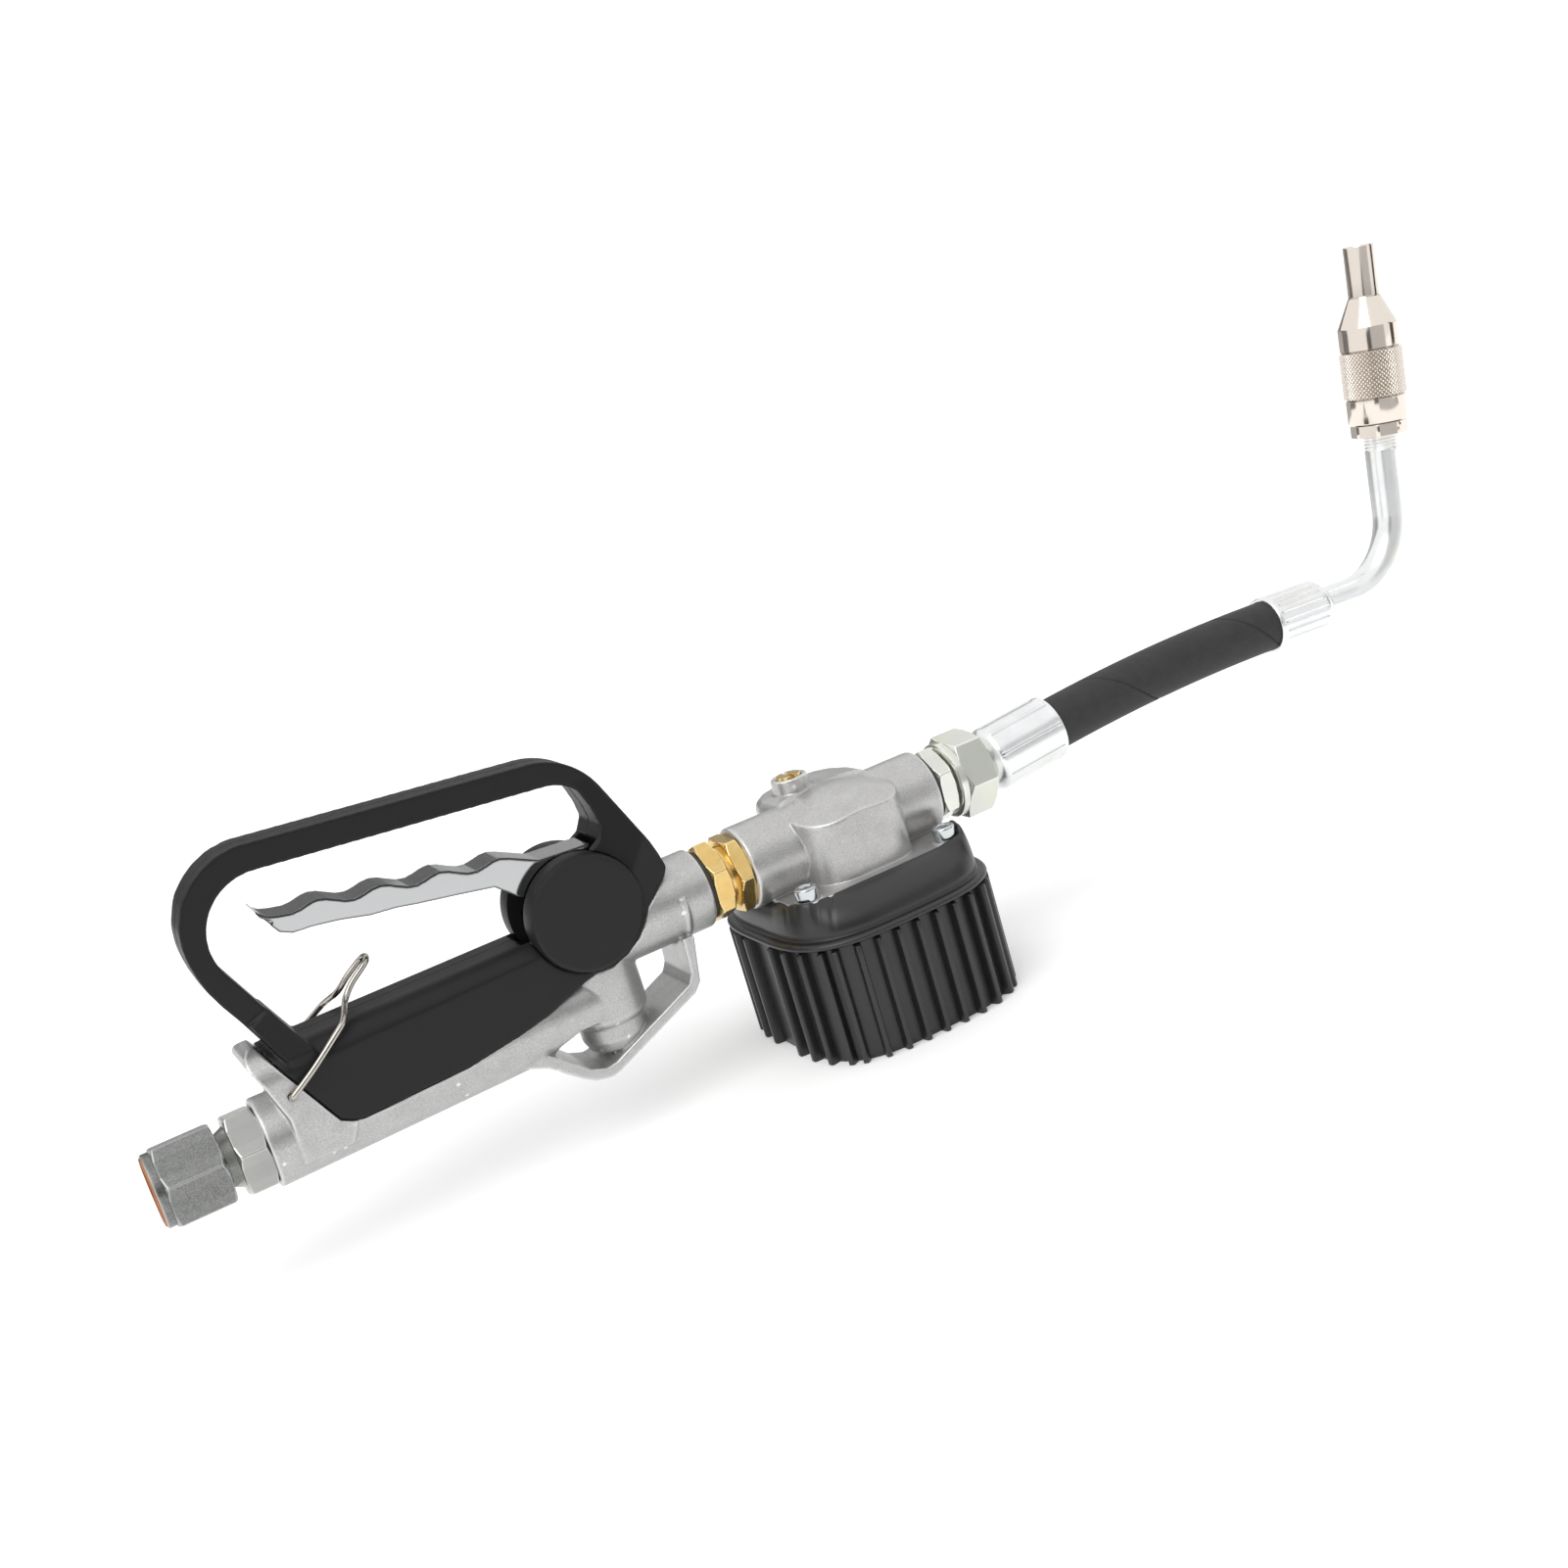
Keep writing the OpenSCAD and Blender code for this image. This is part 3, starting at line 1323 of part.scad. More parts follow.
module boot() {
    foot = -boot_foot;
    color([0.1, 0.1, 0.1])
        meter_frame() {
            difference() {
                translate([0, 0, foot])
                    linear_extrude(boot_foot - 6.5)
                        plan(wall_x, wall_y);
                translate([0, 0, foot + boot_floor])
                    linear_extrude(60)
                        plan(wall_x - boot_wall, wall_y - boot_wall);
                translate([0, 0, foot - 1])
                    linear_extrude(10)
                        round_rect(window_half + 2, window_half + 2, 4);
            }
            difference() {
                loft(concat(shoulder_outer, shoulder_inner));
                translate([0, 0, flange_z0])
                    linear_extrude(20)
                        plate_outline(-0.3);
                screw_holes(flange_z0, 20, boss_screw_r + 0.3);
                bar_x(-meter_len, meter_len, meter_tube_r + 0.3, outlet_rise);
            }
            for (p = rib_places)
                translate([p[0], p[1], foot])
                    rotate([0, 0, p[2]])
                        translate([-1.5, -1.1, 0])
                            cube([rib_out + 1.5, 2.2, boot_foot - 6.6]);
        }
}

// ---- outlet and hose ----

module outlet_seal() {
    color("dimgray")
        difference() {
            bar_x(meter_x1, nipple_hex_x, 13, outlet_rise);
            bar_x(meter_x1 - 1, nipple_hex_x + 1, port_r + seat_fit, outlet_rise);
        }
}

module outlet_nipple() {
    color("lightgray")
        difference() {
            union() {
                bar_x(meter_x1 - port_len + 1, nipple_hex_x + 1, port_r, outlet_rise);
                hex_x(nipple_hex_x, nipple_hex_x + 6.4, 26, 3, outlet_rise);
                bar_x(nipple_hex_x + 6, nut_x0 + 9, port_r, outlet_rise);
            }
            bar_x(meter_x1 - port_len, nut_x0 + 10, 6, outlet_rise);
            spun_x([[nut_x0 + 5, 0], [nut_x0 + 5, 6], [nut_x0 + 9.1, 8.4], [nut_x0 + 9.1, 0]], outlet_rise);
        }
}

module hose_nut() {
    color("lightgray")
        difference() {
            union() {
                spun_x([[nut_x0, 0], [nut_x0, 14.2], [nut_x0 + 0.6, 15], [nut_x0 + 3.2, 15],
                    [nut_x0 + 3.2, 0]], outlet_rise);
                hex_x(nut_x0 + 3, nut_x1, 30, 36, outlet_rise);
            }
            bar_x(nut_x0 - 1, nut_x0 + 12.4, port_r + seat_fit, outlet_rise);
            bar_x(nut_x0, nut_x1 + 1, 8.2, outlet_rise);
        }
}

module hose_tail() {
    cone_x = nut_x0 + 9;
    color("lightgray")
        difference() {
            union() {
                spun_x([[cone_x, 0], [cone_x, 9.2], [nut_x0 + 12.4, 9.2], [nut_x0 + 12.4, 8],
                    [tilt_x, 8], [tilt_x + 0.8, 8], [tilt_x + 0.8, 0]], outlet_rise);
                hose_frame() {
                    bar_x(-1, 4, 7.7, 0);
                    bar_x(0, rear_ferrule_len, hose_bore_r - seat_fit, 0);
                }
            }
            bar_x(cone_x - 1, tilt_x + 1, tail_bore, outlet_rise);
            hose_frame()
                bar_x(-1, rear_ferrule_len + 1, tail_bore + 0.2, 0);
        }
}

module rear_ferrule() {
    outer = hose_r + ferrule_wall;
    color("gainsboro")
        hose_frame()
            difference() {
                intersection() {
                    spun_x([[1.5, 0], [1.5, 10.2], [5, outer], [rear_ferrule_len - 2.5, outer + 0.3],
                        [rear_ferrule_len, outer - 0.4], [rear_ferrule_len, 0]]);
                    union() {
                        rotate([0, 90, 0])
                            rotate([0, 0, 10])
                                cylinder(h = rear_ferrule_len - 4.5, r = (outer - 0.35) / cos(22.5), $fn = 8);
                        bar_x(rear_ferrule_len - 4.6, rear_ferrule_len, outer + 1, 0);
                    }
                }
                bar_x(rear_ferrule_len - grip_depth - 0.2, rear_ferrule_len + 1, hose_r + seat_fit, 0);
                bar_x(4, 20, hose_bore_r + 0.1, 0);
                bar_x(-1, 4.2, 7.7 + seat_fit, 0);
            }
}

module hose() {
    color([0.18, 0.18, 0.18])
        difference() {
            union() {
                hose_frame() {
                    bar_x(rear_ferrule_len - grip_depth, rear_ferrule_len + 1, hose_r - step_fit, 0);
                    translate([rear_ferrule_len, 0, 0])
                        arc_tube(hose_arc_r, hose_bend, hose_r, -1);
                }
                front_frame()
                    bar_x(-1, grip_depth - 2, hose_r - step_fit, 0);
            }
            hose_frame() {
                bar_x(rear_ferrule_len - grip_depth - 1, rear_ferrule_len + 1, hose_bore_r, 0);
                translate([rear_ferrule_len, 0, 0])
                    arc_tube(hose_arc_r, hose_bend, hose_bore_r - step_fit, -1);
            }
            front_frame()
                bar_x(-1, grip_depth, hose_bore_r, 0);
        }
}

module front_ferrule() {
    outer = hose_r + 1.4;
    grooves = 18;
    color("whitesmoke")
        front_frame()
            difference() {
                spun_x([[0, 0], [0, outer - 0.5], [0.8, outer], [front_ferrule_len - 3, outer],
                    [front_ferrule_len, outer - 2.2], [front_ferrule_len, 0]]);
                bar_x(-1, grip_depth - 1.8, hose_r + seat_fit, 0);
                bar_x(0, front_ferrule_len + 1, tube_r + seat_fit, 0);
                for (i = [0:grooves - 1])
                    rotate([360 * i / grooves, 0, 0])
                        translate([2.4, -0.3, outer - 0.45])
                            cube([front_ferrule_len, 0.6, 2]);
            }
}

module bent_tube() {
    lead = front_ferrule_len + tube_lead;
    color("whitesmoke")
        difference() {
            union() {
                front_frame() {
                    bar_x(0, grip_depth, hose_bore_r - seat_fit, 0);
                    bar_x(grip_depth - 1.5, lead + 0.6, tube_r - step_fit, 0);
                    translate([lead, 0, 0])
                        arc_tube(tube_bend_r, tube_bend, tube_r, 1);
                }
                tip_frame()
                    translate([0, 0, -tube_leg - 0.6])
                        cylinder(h = tube_leg + tube_end_in + 0.6, r = tube_r - step_fit);
            }
            front_frame() {
                bar_x(-1, grip_depth, tail_bore, 0);
                bar_x(grip_depth - 0.5, lead + 0.6, tube_r - tube_wall, 0);
                translate([lead, 0, 0])
                    arc_tube(tube_bend_r, tube_bend, tube_r - tube_wall - step_fit, 1);
            }
            tip_frame()
                translate([0, 0, -tube_leg - 0.6])
                    cylinder(h = far, r = tube_r - tube_wall);
            // thread runout under the tip
            tip_frame()
                for (i = [0:2])
                    translate([0, 0, -1.6 - 1.4 * i])
                        rotate_extrude()
                            polygon([[tube_r - 0.5, 0], [tube_r + 1, -0.7], [tube_r + 1, 0.7]]);
        }
}

// ---- tip ----

module tip_base() {
    color("wheat")
        tip_frame()
            difference() {
                union() {
                    intersection() {
                        cylinder(h = tip_nut_len, r = 11.6);
                        cylinder(h = tip_nut_len, r = 11 / cos(22.5), $fn = 8);
                    }
                    cylinder(h = base_top, r = base_stem_r);
                }
                translate([0, 0, -1])
                    cylinder(h = tube_end_in + 1.2, r = tube_r + seat_fit);
                cylinder(h = far, r = 5);
                translate([0, 0, 26])
                    rotate_extrude()
                        translate([base_stem_r - 1.5, 0])
                            square([3, 2.2]);
            }
}

module tip_seal() {
    color("black")
        tip_frame()
            translate([0, 0, 26.1])
                rotate_extrude()
                    translate([base_stem_r - 1.45, 0])
                        square([1.4, 2]);
}

module tip_sleeve() {
    band_r = sleeve_r - 0.5;
    z0 = tip_nut_len + tip_gap;
    color("wheat")
        tip_frame()
            difference() {
                rotate_extrude($fn = 96)
                    polygon([[0, z0], [band_r - 0.5, z0], [band_r, z0 + 0.5], [band_r, knurl_z - 0.6],
                        [band_r - 0.6, knurl_z - 0.6], [band_r - 0.6, knurl_z], [sleeve_r - 0.3, knurl_z],
                        [sleeve_r, knurl_z + 0.3], [sleeve_r, knurl_z + knurl_len - 0.3],
                        [sleeve_r - 0.3, knurl_z + knurl_len], [band_r - 0.6, knurl_z + knurl_len],
                        [band_r - 0.6, knurl_z + knurl_len + 0.6], [band_r, knurl_z + knurl_len + 0.6],
                        [band_r, band_end], [spout_r + 0.6, cone_end - 0.4], [spout_r, cone_end],
                        [spout_r, tip_len - 0.5], [spout_r - 0.5, tip_len], [0, tip_len]]);
                translate([0, 0, -1])
                    cylinder(h = 36, r = base_stem_r + run_fit);
                translate([0, 0, 34])
                    cylinder(h = 8, r = 7.5);
                cylinder(h = far, r = 4.6);
            }
}

module tip_poppet() {
    color("gainsboro")
        tip_frame()
            translate([0, 0, base_top]) {
                cylinder(h = 3, r = 6.6);
                translate([0, 0, -20])
                    cylinder(h = 21, r = 1.6);
                for (a = [0:120:359])
                    rotate([0, 0, a])
                        translate([0, -0.6, -18])
                            cube([4.8, 1.2, 6]);
            }
}

valve_body();
grip_cover_near();
grip_cover_far();
pivot_cap_near();
pivot_cap_far();
cover_screws();
trigger_pin();
pin_clips();
inlet_adapter();
inlet_strainer();
valve_seat();
stem_gland();
gland_seal();
outlet_washer();
brass_nipple();
brass_lock_nut();
meter_body();
meter_gasket();
gear_plate();
gear_shafts();
meter_screws();
brass_plug();
display_housing();
display_board();
display_screen();
display_window();
battery();
battery_clip();
boot();
outlet_nipple();
outlet_seal();
hose_nut();
hose_tail();
rear_ferrule();
hose();
front_ferrule();
bent_tube();
tip_base();
tip_seal();
trigger_lever();
trigger_roller();
valve_stem();
poppet_seal();
valve_spring();
latch_wire();
swivel_nut();
inlet_washer();
swivel_clip();
gear_a_rotor();
gear_b_rotor();
button_left();
button_right();
tip_sleeve();
tip_poppet();
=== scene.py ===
import math

import bpy
import numpy as np
from mathutils import Matrix, Vector


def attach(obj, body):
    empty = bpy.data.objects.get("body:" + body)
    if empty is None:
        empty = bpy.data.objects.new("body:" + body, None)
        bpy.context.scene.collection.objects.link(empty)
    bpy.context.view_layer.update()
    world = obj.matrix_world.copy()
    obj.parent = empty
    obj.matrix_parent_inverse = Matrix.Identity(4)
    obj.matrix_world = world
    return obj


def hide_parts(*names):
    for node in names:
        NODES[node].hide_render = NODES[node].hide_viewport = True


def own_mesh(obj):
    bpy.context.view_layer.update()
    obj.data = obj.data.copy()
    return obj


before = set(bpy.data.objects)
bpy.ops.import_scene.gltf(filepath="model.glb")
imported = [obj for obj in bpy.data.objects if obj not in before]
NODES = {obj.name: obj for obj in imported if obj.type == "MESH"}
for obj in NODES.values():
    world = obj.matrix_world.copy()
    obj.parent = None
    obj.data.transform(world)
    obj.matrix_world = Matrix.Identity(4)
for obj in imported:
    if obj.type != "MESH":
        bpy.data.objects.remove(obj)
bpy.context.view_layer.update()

# Shapes are worked out in mm and degrees. new_object() takes metres.
MM = 0.001

# ------------------------------------------------------------------ numbers shared with the CAD
BODY_X = 38.0                       # rear face of the handle's casting
OUT_X = BODY_X + 174                # face of the handle's outlet
RISE = 22.0                         # height of the outlet's axis over the inlet's
METER_X0 = OUT_X + 17.5             # meter: rear face, middle and front face
METER_X = METER_X0 + 42
METER_X1 = METER_X0 + 81
NUT_X0 = METER_X1 + 9.5             # rear face of the hose nut
TILT_X = NUT_X0 + 18                # from here the hose line rises
HOSE_R, HOSE_LEN = 10.5, 112.5
HOSE_RISE, HOSE_BEND = 5.5, 8.0     # slope at the hose's start, and how far it bends back
REAR_LEN, FRONT_LEN = 34.0, 29.5    # ferrules
TUBE_R, TUBE_BEND_R, TUBE_BEND, TUBE_LEAD, TUBE_LEG = 7.0, 30.0, 86.0, 15.5, 33.5
BOOT_Y, RIB_OUT, FOOT = 48.0, 3.5, -51.5    # boot: half width over the ribs, rib height, underside
PLATE_X, PLATE_Y, PLATE_R = 36.2, 31.4, 11  # meter plate: half length, half width, corner radius
LUG_X, LUG_Y = 30, 27               # meter screws, from the middle of the meter
NECK_END, SWIVEL_LEN = 27.5, 23.5   # inlet adapter's neck, swivel nut
PORT_R, BAR_R = 9.6, 11.5           # threaded ports, and the casting's bars that hold them
NUT_AF = 27                         # across flats: swivel nut, adapter, both brass pieces
FIT = 0.08                          # clearance of seated and turning pieces


def frame_at(x, z, angle):
    """Frame whose local x runs along angle (degrees above +X) in the XZ plane."""
    a = math.radians(angle)
    return Matrix(((math.cos(a), 0, -math.sin(a), x), (0, 1, 0, 0),
                   (math.sin(a), 0, math.cos(a), z), (0, 0, 0, 1)))


def step(m, x, z, turn=0.0):
    return m @ frame_at(x, z, turn)


LOW, HIGH = frame_at(0, 0, 0), frame_at(0, RISE, 0)
HOSE_AT = frame_at(TILT_X, RISE, HOSE_RISE)
ARC_R = HOSE_LEN / math.radians(HOSE_BEND)
FRONT_AT = step(HOSE_AT, REAR_LEN + ARC_R * math.sin(math.radians(HOSE_BEND)),
                -ARC_R * (1 - math.cos(math.radians(HOSE_BEND))), -HOSE_BEND)
TIP_AT = step(step(FRONT_AT, FRONT_LEN + TUBE_LEAD + TUBE_BEND_R * math.sin(math.radians(TUBE_BEND)),
                   TUBE_BEND_R * (1 - math.cos(math.radians(TUBE_BEND))), TUBE_BEND), TUBE_LEG, 0)


# ------------------------------------------------------------------ mesh helpers
def new_object(name, verts, faces, sharp=35.0):
    """Mesh object from points in metres; edges over the sharp angle stay crisp."""
    me = bpy.data.meshes.new(name)
    me.from_pydata([tuple(v) for v in verts], [], faces)
    me.validate()
    me.update()
    ob = bpy.data.objects.new(name, me)
    bpy.context.scene.collection.objects.link(ob)
    shade(ob, sharp)
    return ob


def shade(ob, sharp):
    me = ob.data
    me.polygons.foreach_set("use_smooth", [True] * len(me.polygons))
    if sharp is not None:
        me.set_sharp_from_angle(angle=math.radians(sharp))
    me.update()


def circle(seg):
    return np.arange(seg) * 2 * math.pi / seg


def placed(points, m):
    mat = np.array(m)
    return points @ mat[:3, :3].T + mat[:3, 3]


def grid_faces(rows, cols):
    """Quads between rings of points, each ring closed on itself."""
    r, c = np.arange(rows - 1)[:, None] * cols, np.arange(cols)[None, :]
    a, b = r + c, r + (c + 1) % cols
    return np.stack([a, b, b + cols, a + cols], -1).reshape(-1, 4).tolist()


def rings(m, rows, seg):
    """Points and faces of rings round the local x axis.

    Each row is (s, r), the place along the axis and the radius: numbers, or one value for each column.
    """
    th = circle(seg)
    pts = []
    for s, r in rows:
        s, r = np.broadcast_to(s, th.shape), np.broadcast_to(r, th.shape)
        pts.append(np.stack([s, r * np.cos(th), r * np.sin(th)], -1))
    return placed(np.concatenate(pts), m), grid_faces(len(rows), seg)


def ringed(name, m, rows, seg=360, sharp=32.0):
    pts, faces = rings(m, rows, seg)
    return new_object(name, pts * MM, faces, sharp)


def lathe(name, m, profile, seg, radius):
    """Profile of (s, r) turned round the local x axis, where radius(s, r, angles) cuts its relief."""
    th = circle(seg)
    return ringed(name, m, [(s, radius(s, r, th)) for s, r in profile], seg, 40.0)


def hexagon(af, phase, seg=360):
    """Radius of a hexagon at each column, its corners slightly broken; a flat faces the angle phase."""
    d = (np.arange(seg) * 360.0 / seg - phase + 30.0) % 60.0 - 30.0
    return np.minimum(af / 2 / np.cos(np.radians(d)), af / math.sqrt(3) - 0.10)


def hex_rows(x0, x1, af, phase):
    """Rows of a hexagonal bar with a turned chamfer at each end and edges broken by about 0.1 mm."""
    flat = hexagon(af, phase)
    r0, corner = af / 2 + 0.2, af / math.sqrt(3)
    rise = (corner - r0) / ((corner - af / 2) / 2)
    reach = np.clip((flat - r0) / rise, 0, None)

    def cone(t):
        return np.minimum(r0 + rise * t, flat)

    before = np.maximum(reach - 0.07, 0.08)
    half = [(0.0, np.minimum(r0, flat) - 0.16), (0.07, cone(0.05) - 0.03),
            (before, cone(before) - 0.01), (reach + 0.16, flat), (reach + 0.6, flat)]
    return [(x0 + t, r) for t, r in half] + [(x1 - t, r) for t, r in half[::-1]]


def sweep(name, path, radius, seg):
    """Capped bar along a path; radius is a number, or a function of length along it and angles."""
    path = np.array(path, float)
    n = len(path)
    tang = np.gradient(path, axis=0)
    tang /= np.linalg.norm(tang, axis=1)[:, None]
    ref = np.array([0.0, 1.0, 0.0])
    if abs(tang[0] @ ref) > 0.9:
        ref = np.array([-0.55, 0, 0.83])
    u = np.cross(ref, tang[0])
    u /= np.linalg.norm(u)
    th = circle(seg)
    along = np.concatenate([[0], np.cumsum(np.linalg.norm(np.diff(path, axis=0), axis=1))])
    rows = []
    for i in range(n):
        u = u - (u @ tang[i]) * tang[i]
        u /= np.linalg.norm(u)
        v = np.cross(tang[i], u)
        r = radius(along[i], th) if callable(radius) else radius
        rows.append(path[i] + (r * np.cos(th))[:, None] * u + (r * np.sin(th))[:, None] * v)
    faces = grid_faces(n, seg)
    faces.append(list(range(seg))[::-1])
    faces.append(list(range((n - 1) * seg, n * seg)))
    return new_object(name, np.concatenate(rows) * MM, faces, None)


def copy_of(node, lump=((), ())):
    """Copy of a CAD node's mesh, joined by a lump of extra metal given as points and faces."""
    src = NODES[node].data
    verts = [tuple(v.co) for v in src.vertices] + [tuple(v) for v in lump[0]]
    faces = [tuple(p.vertices) for p in src.polygons]
    faces += [tuple(len(src.vertices) + i for i in f) for f in lump[1]]
    me = bpy.data.meshes.new("_src")
    me.from_pydata(verts, [], faces)
    me.update()
    ob = bpy.data.objects.new("_src", me)
    bpy.context.scene.collection.objects.link(ob)
    weld(ob)
    return ob


def weld(ob):
    ob.modifiers.new("weld", "WELD").merge_threshold = 1e-6


def baked(ob, name, sharp):
    """The object with its modifiers applied, under a new name."""
    dg = bpy.context.evaluated_depsgraph_get()
    dg.update()
    me = bpy.data.meshes.new_from_object(ob.evaluated_get(dg))
    me.name = name
    out = bpy.data.objects.new(name, me)
    bpy.context.scene.collection.objects.link(out)
    bpy.data.objects.remove(ob)
    shade(out, sharp)
    return out


def recast(name, node, voxel, turns, lump=((), ())):
    """Rounded casting or moulding: the CAD solid remeshed and relaxed, so its edges get fillets."""
    ob = copy_of(node, lump)
    remesh = ob.modifiers.new("remesh", "REMESH")
    remesh.mode = "VOXEL"
    remesh.voxel_size = voxel * MM
    remesh.adaptivity = 0.0
    relax = ob.modifiers.new("relax", "SMOOTH")
    relax.factor = 0.5
    relax.iterations = turns
    return baked(ob, name, None)


def piece(ob, body, node, mat):
    """Makes an object stand for a CAD node on a body: the node is hidden and the object gets a finish.
    """
    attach(ob, body)
    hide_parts(node)
    ob.data.materials.clear()
    ob.data.materials.append(mat)


def dress(node, mat, bevel=0.0, segments=2):
    """Shows a CAD node itself with a finish and, where bevel isn't 0, softly broken edges."""
    ob = NODES[node]
    if not ob.material_slots:
        ob.data.materials.append(mat)
    for s in ob.material_slots:
        s.link = "OBJECT"
        s.material = mat
    if bevel:
        weld(ob)
        b = ob.modifiers.new("edges", "BEVEL")
        b.width = bevel * MM
        b.segments = segments
        b.limit_method = "ANGLE"
        b.angle_limit = math.radians(25.0)


# ------------------------------------------------------------------ materials
def material(name, color, metallic, rough, spec=0.5, mottle=0.0, mottle_scale=60.0, rough_var=0.0,
             grain=0.0, grain_scale=900.0, lump=0.0, lump_scale=120.0, edge=0.0, painted_edge_reflection=None,
             painted_hollow_shade=0.0, tint=None, speckle=None, spots=None):
    """Finish with varied colour and roughness, relief, a painted highlight on edges and painted shade
    in hollows.

    mottle, rough_var: how far colour (a share) and roughness vary in patches.
    grain, lump: height (mm) of fine and coarse relief.
    edge, cavity: curvature range of the painted highlight (painted_edge_reflection) on edges and of
    painted shade in hollows.
    tint: (colour, scale, from, to) of large patches.
    speckle: (share, scale) of fine specks.
    spots: (colour, scale, from) of sparse spots.
    """
    m = bpy.data.materials.new(name)
    m.use_nodes = True
    nt = m.node_tree
    bsdf = nt.nodes["Principled BSDF"]
    bsdf.inputs["Metallic"].default_value = metallic
    bsdf.inputs["Roughness"].default_value = rough
    bsdf.inputs["Specular IOR Level"].default_value = spec
    bsdf.inputs["Base Color"].default_value = (*color, 1)
    pos = nt.nodes.new("ShaderNodeTexCoord").outputs["Object"]

    def noise(scale, detail, roughness=0.55):
        n = nt.nodes.new("ShaderNodeTexNoise")
        n.inputs["Scale"].default_value = scale
        n.inputs["Detail"].default_value = detail
        n.inputs["Roughness"].default_value = roughness
        nt.links.new(pos, n.inputs["Vector"])
        return n.outputs["Fac"]

    def ramp(src, lo, hi, a=(0, 0, 0, 1), b=(1, 1, 1, 1)):
        r = nt.nodes.new("ShaderNodeValToRGB")
        for stop, at, shown in zip(r.color_ramp.elements, (lo, hi), (a, b)):
            stop.position = at
            stop.color = shown
        nt.links.new(src, r.inputs["Fac"])
        return r.outputs["Color"]

    def mix(fac, a, b, kind="MIX"):
        x = nt.nodes.new("ShaderNodeMix")
        x.data_type = "RGBA"
        x.blend_type = kind
        for sock, val in ((x.inputs[0], fac), (x.inputs[6], a), (x.inputs[7], b)):
            if isinstance(val, (int, float)):
                sock.default_value = val
            elif isinstance(val, tuple):
                sock.default_value = (*val[:3], 1)
            else:
                nt.links.new(val, sock)
        return x.outputs[2]

    col = None
    if mottle:
        dark = tuple(max(0.0, c * (1 - mottle)) for c in color)
        light = tuple(min(1.0, c * (1 + mottle)) for c in color)
        col = mix(ramp(noise(mottle_scale, 4.0, 0.6), 0.3, 0.7), dark, light)
    if tint:
        col = mix(ramp(noise(tint[1], 3.0), tint[2], tint[3]), col or color, tint[0])
    if speckle:
        share, scale = speckle
        low, high = (1 - share,) * 3 + (1,), (1 + share,) * 3 + (1,)
        fine = ramp(noise(scale, 2.0, 0.7), 0.32, 0.68, low, high)
        col = mix(1.0, col or color, fine, "MULTIPLY")
    if spots:
        col = mix(ramp(noise(spots[1], 2.0, 0.4), spots[2], spots[2] + 0.04), col or color, spots[0])
    if edge or painted_hollow_shade:
        curvature = nt.nodes.new("ShaderNodeNewGeometry").outputs["Pointiness"]
        # painted highlight: convex edges take a lighter colour; on chrome a dark painted reflection
        if edge:
            fac = ramp(curvature, 0.505, 0.505 + edge)
            col = mix(fac, col or color, painted_edge_reflection)
        # painted shade: hollows drop to 0.55 of the colour
        if painted_hollow_shade:
            fac = ramp(curvature, 0.5 - painted_hollow_shade, 0.497, (1, 1, 1, 1), (0, 0, 0, 1))
            col = mix(fac, col or color, tuple(c * 0.55 for c in color))
    if col is not None:
        nt.links.new(col, bsdf.inputs["Base Color"])
    if rough_var:
        r = nt.nodes.new("ShaderNodeMapRange")
        r.inputs["To Min"].default_value = max(0.02, rough - rough_var)
        r.inputs["To Max"].default_value = min(1.0, rough + rough_var)
        nt.links.new(noise(mottle_scale * 1.7, 4.0, 0.65), r.inputs["Value"])
        nt.links.new(r.outputs["Result"], bsdf.inputs["Roughness"])
    normal = None
    for height, scale in ((lump, lump_scale), (grain, grain_scale)):
        if height:
            b = nt.nodes.new("ShaderNodeBump")
            b.inputs["Strength"].default_value = 1.0
            b.inputs["Distance"].default_value = height * MM
            nt.links.new(noise(scale, 2.0), b.inputs["Height"])
            if normal is not None:
                nt.links.new(normal, b.inputs["Normal"])
            normal = b.outputs["Normal"]
    if normal is not None:
        nt.links.new(normal, bsdf.inputs["Normal"])
    return m


# cast aluminium: edges take a painted highlight, hollows painted shade
CAST = material("cast_aluminium", (0.51, 0.51, 0.505), 0.75, 0.38, mottle=0.06, mottle_scale=170,
                rough_var=0.08, grain=0.05, grain_scale=1700, lump=0.08, lump_scale=90, edge=0.05,
                painted_edge_reflection=(0.86, 0.86, 0.86), speckle=(0.20, 2300), painted_hollow_shade=0.05)
# meter casting: edges take a painted highlight, hollows painted shade
METER = material("meter_casting", (0.52, 0.515, 0.51), 0.75, 0.35, mottle=0.07, mottle_scale=140,
                 rough_var=0.09, grain=0.05, grain_scale=1600, lump=0.10, lump_scale=70, edge=0.05,
                 painted_edge_reflection=(0.85, 0.85, 0.84), speckle=(0.18, 2200), painted_hollow_shade=0.06)
COVER = material("cover_black", (0.0105, 0.0105, 0.011), 0.0, 0.44, spec=0.30, grain=0.006,
                 grain_scale=2500, rough_var=0.03)
CAP = material("cap_black", (0.012, 0.012, 0.0125), 0.0, 0.50, spec=0.32, grain=0.006, grain_scale=2500)
HOUSING = material("housing_black", (0.03, 0.03, 0.03), 0.0, 0.5)
BOOT = material("boot_rubber", (0.0150, 0.0150, 0.0155), 0.0, 0.34, spec=0.62, grain=0.006,
                grain_scale=1800, mottle=0.1, rough_var=0.05)
SEAL = material("seal_rubber", (0.015, 0.015, 0.015), 0.0, 0.6)
FIBRE = material("fibre_grey", (0.05, 0.05, 0.05), 0.0, 0.7)
COPPER = material("washer_copper", (0.50, 0.20, 0.09), 0.7, 0.5)
HOSE = material("hose_rubber", (0.032, 0.032, 0.033), 0.0, 0.60, spec=0.35, grain=0.02,
                grain_scale=1100, mottle=0.12, mottle_scale=200, speckle=(0.12, 1800))
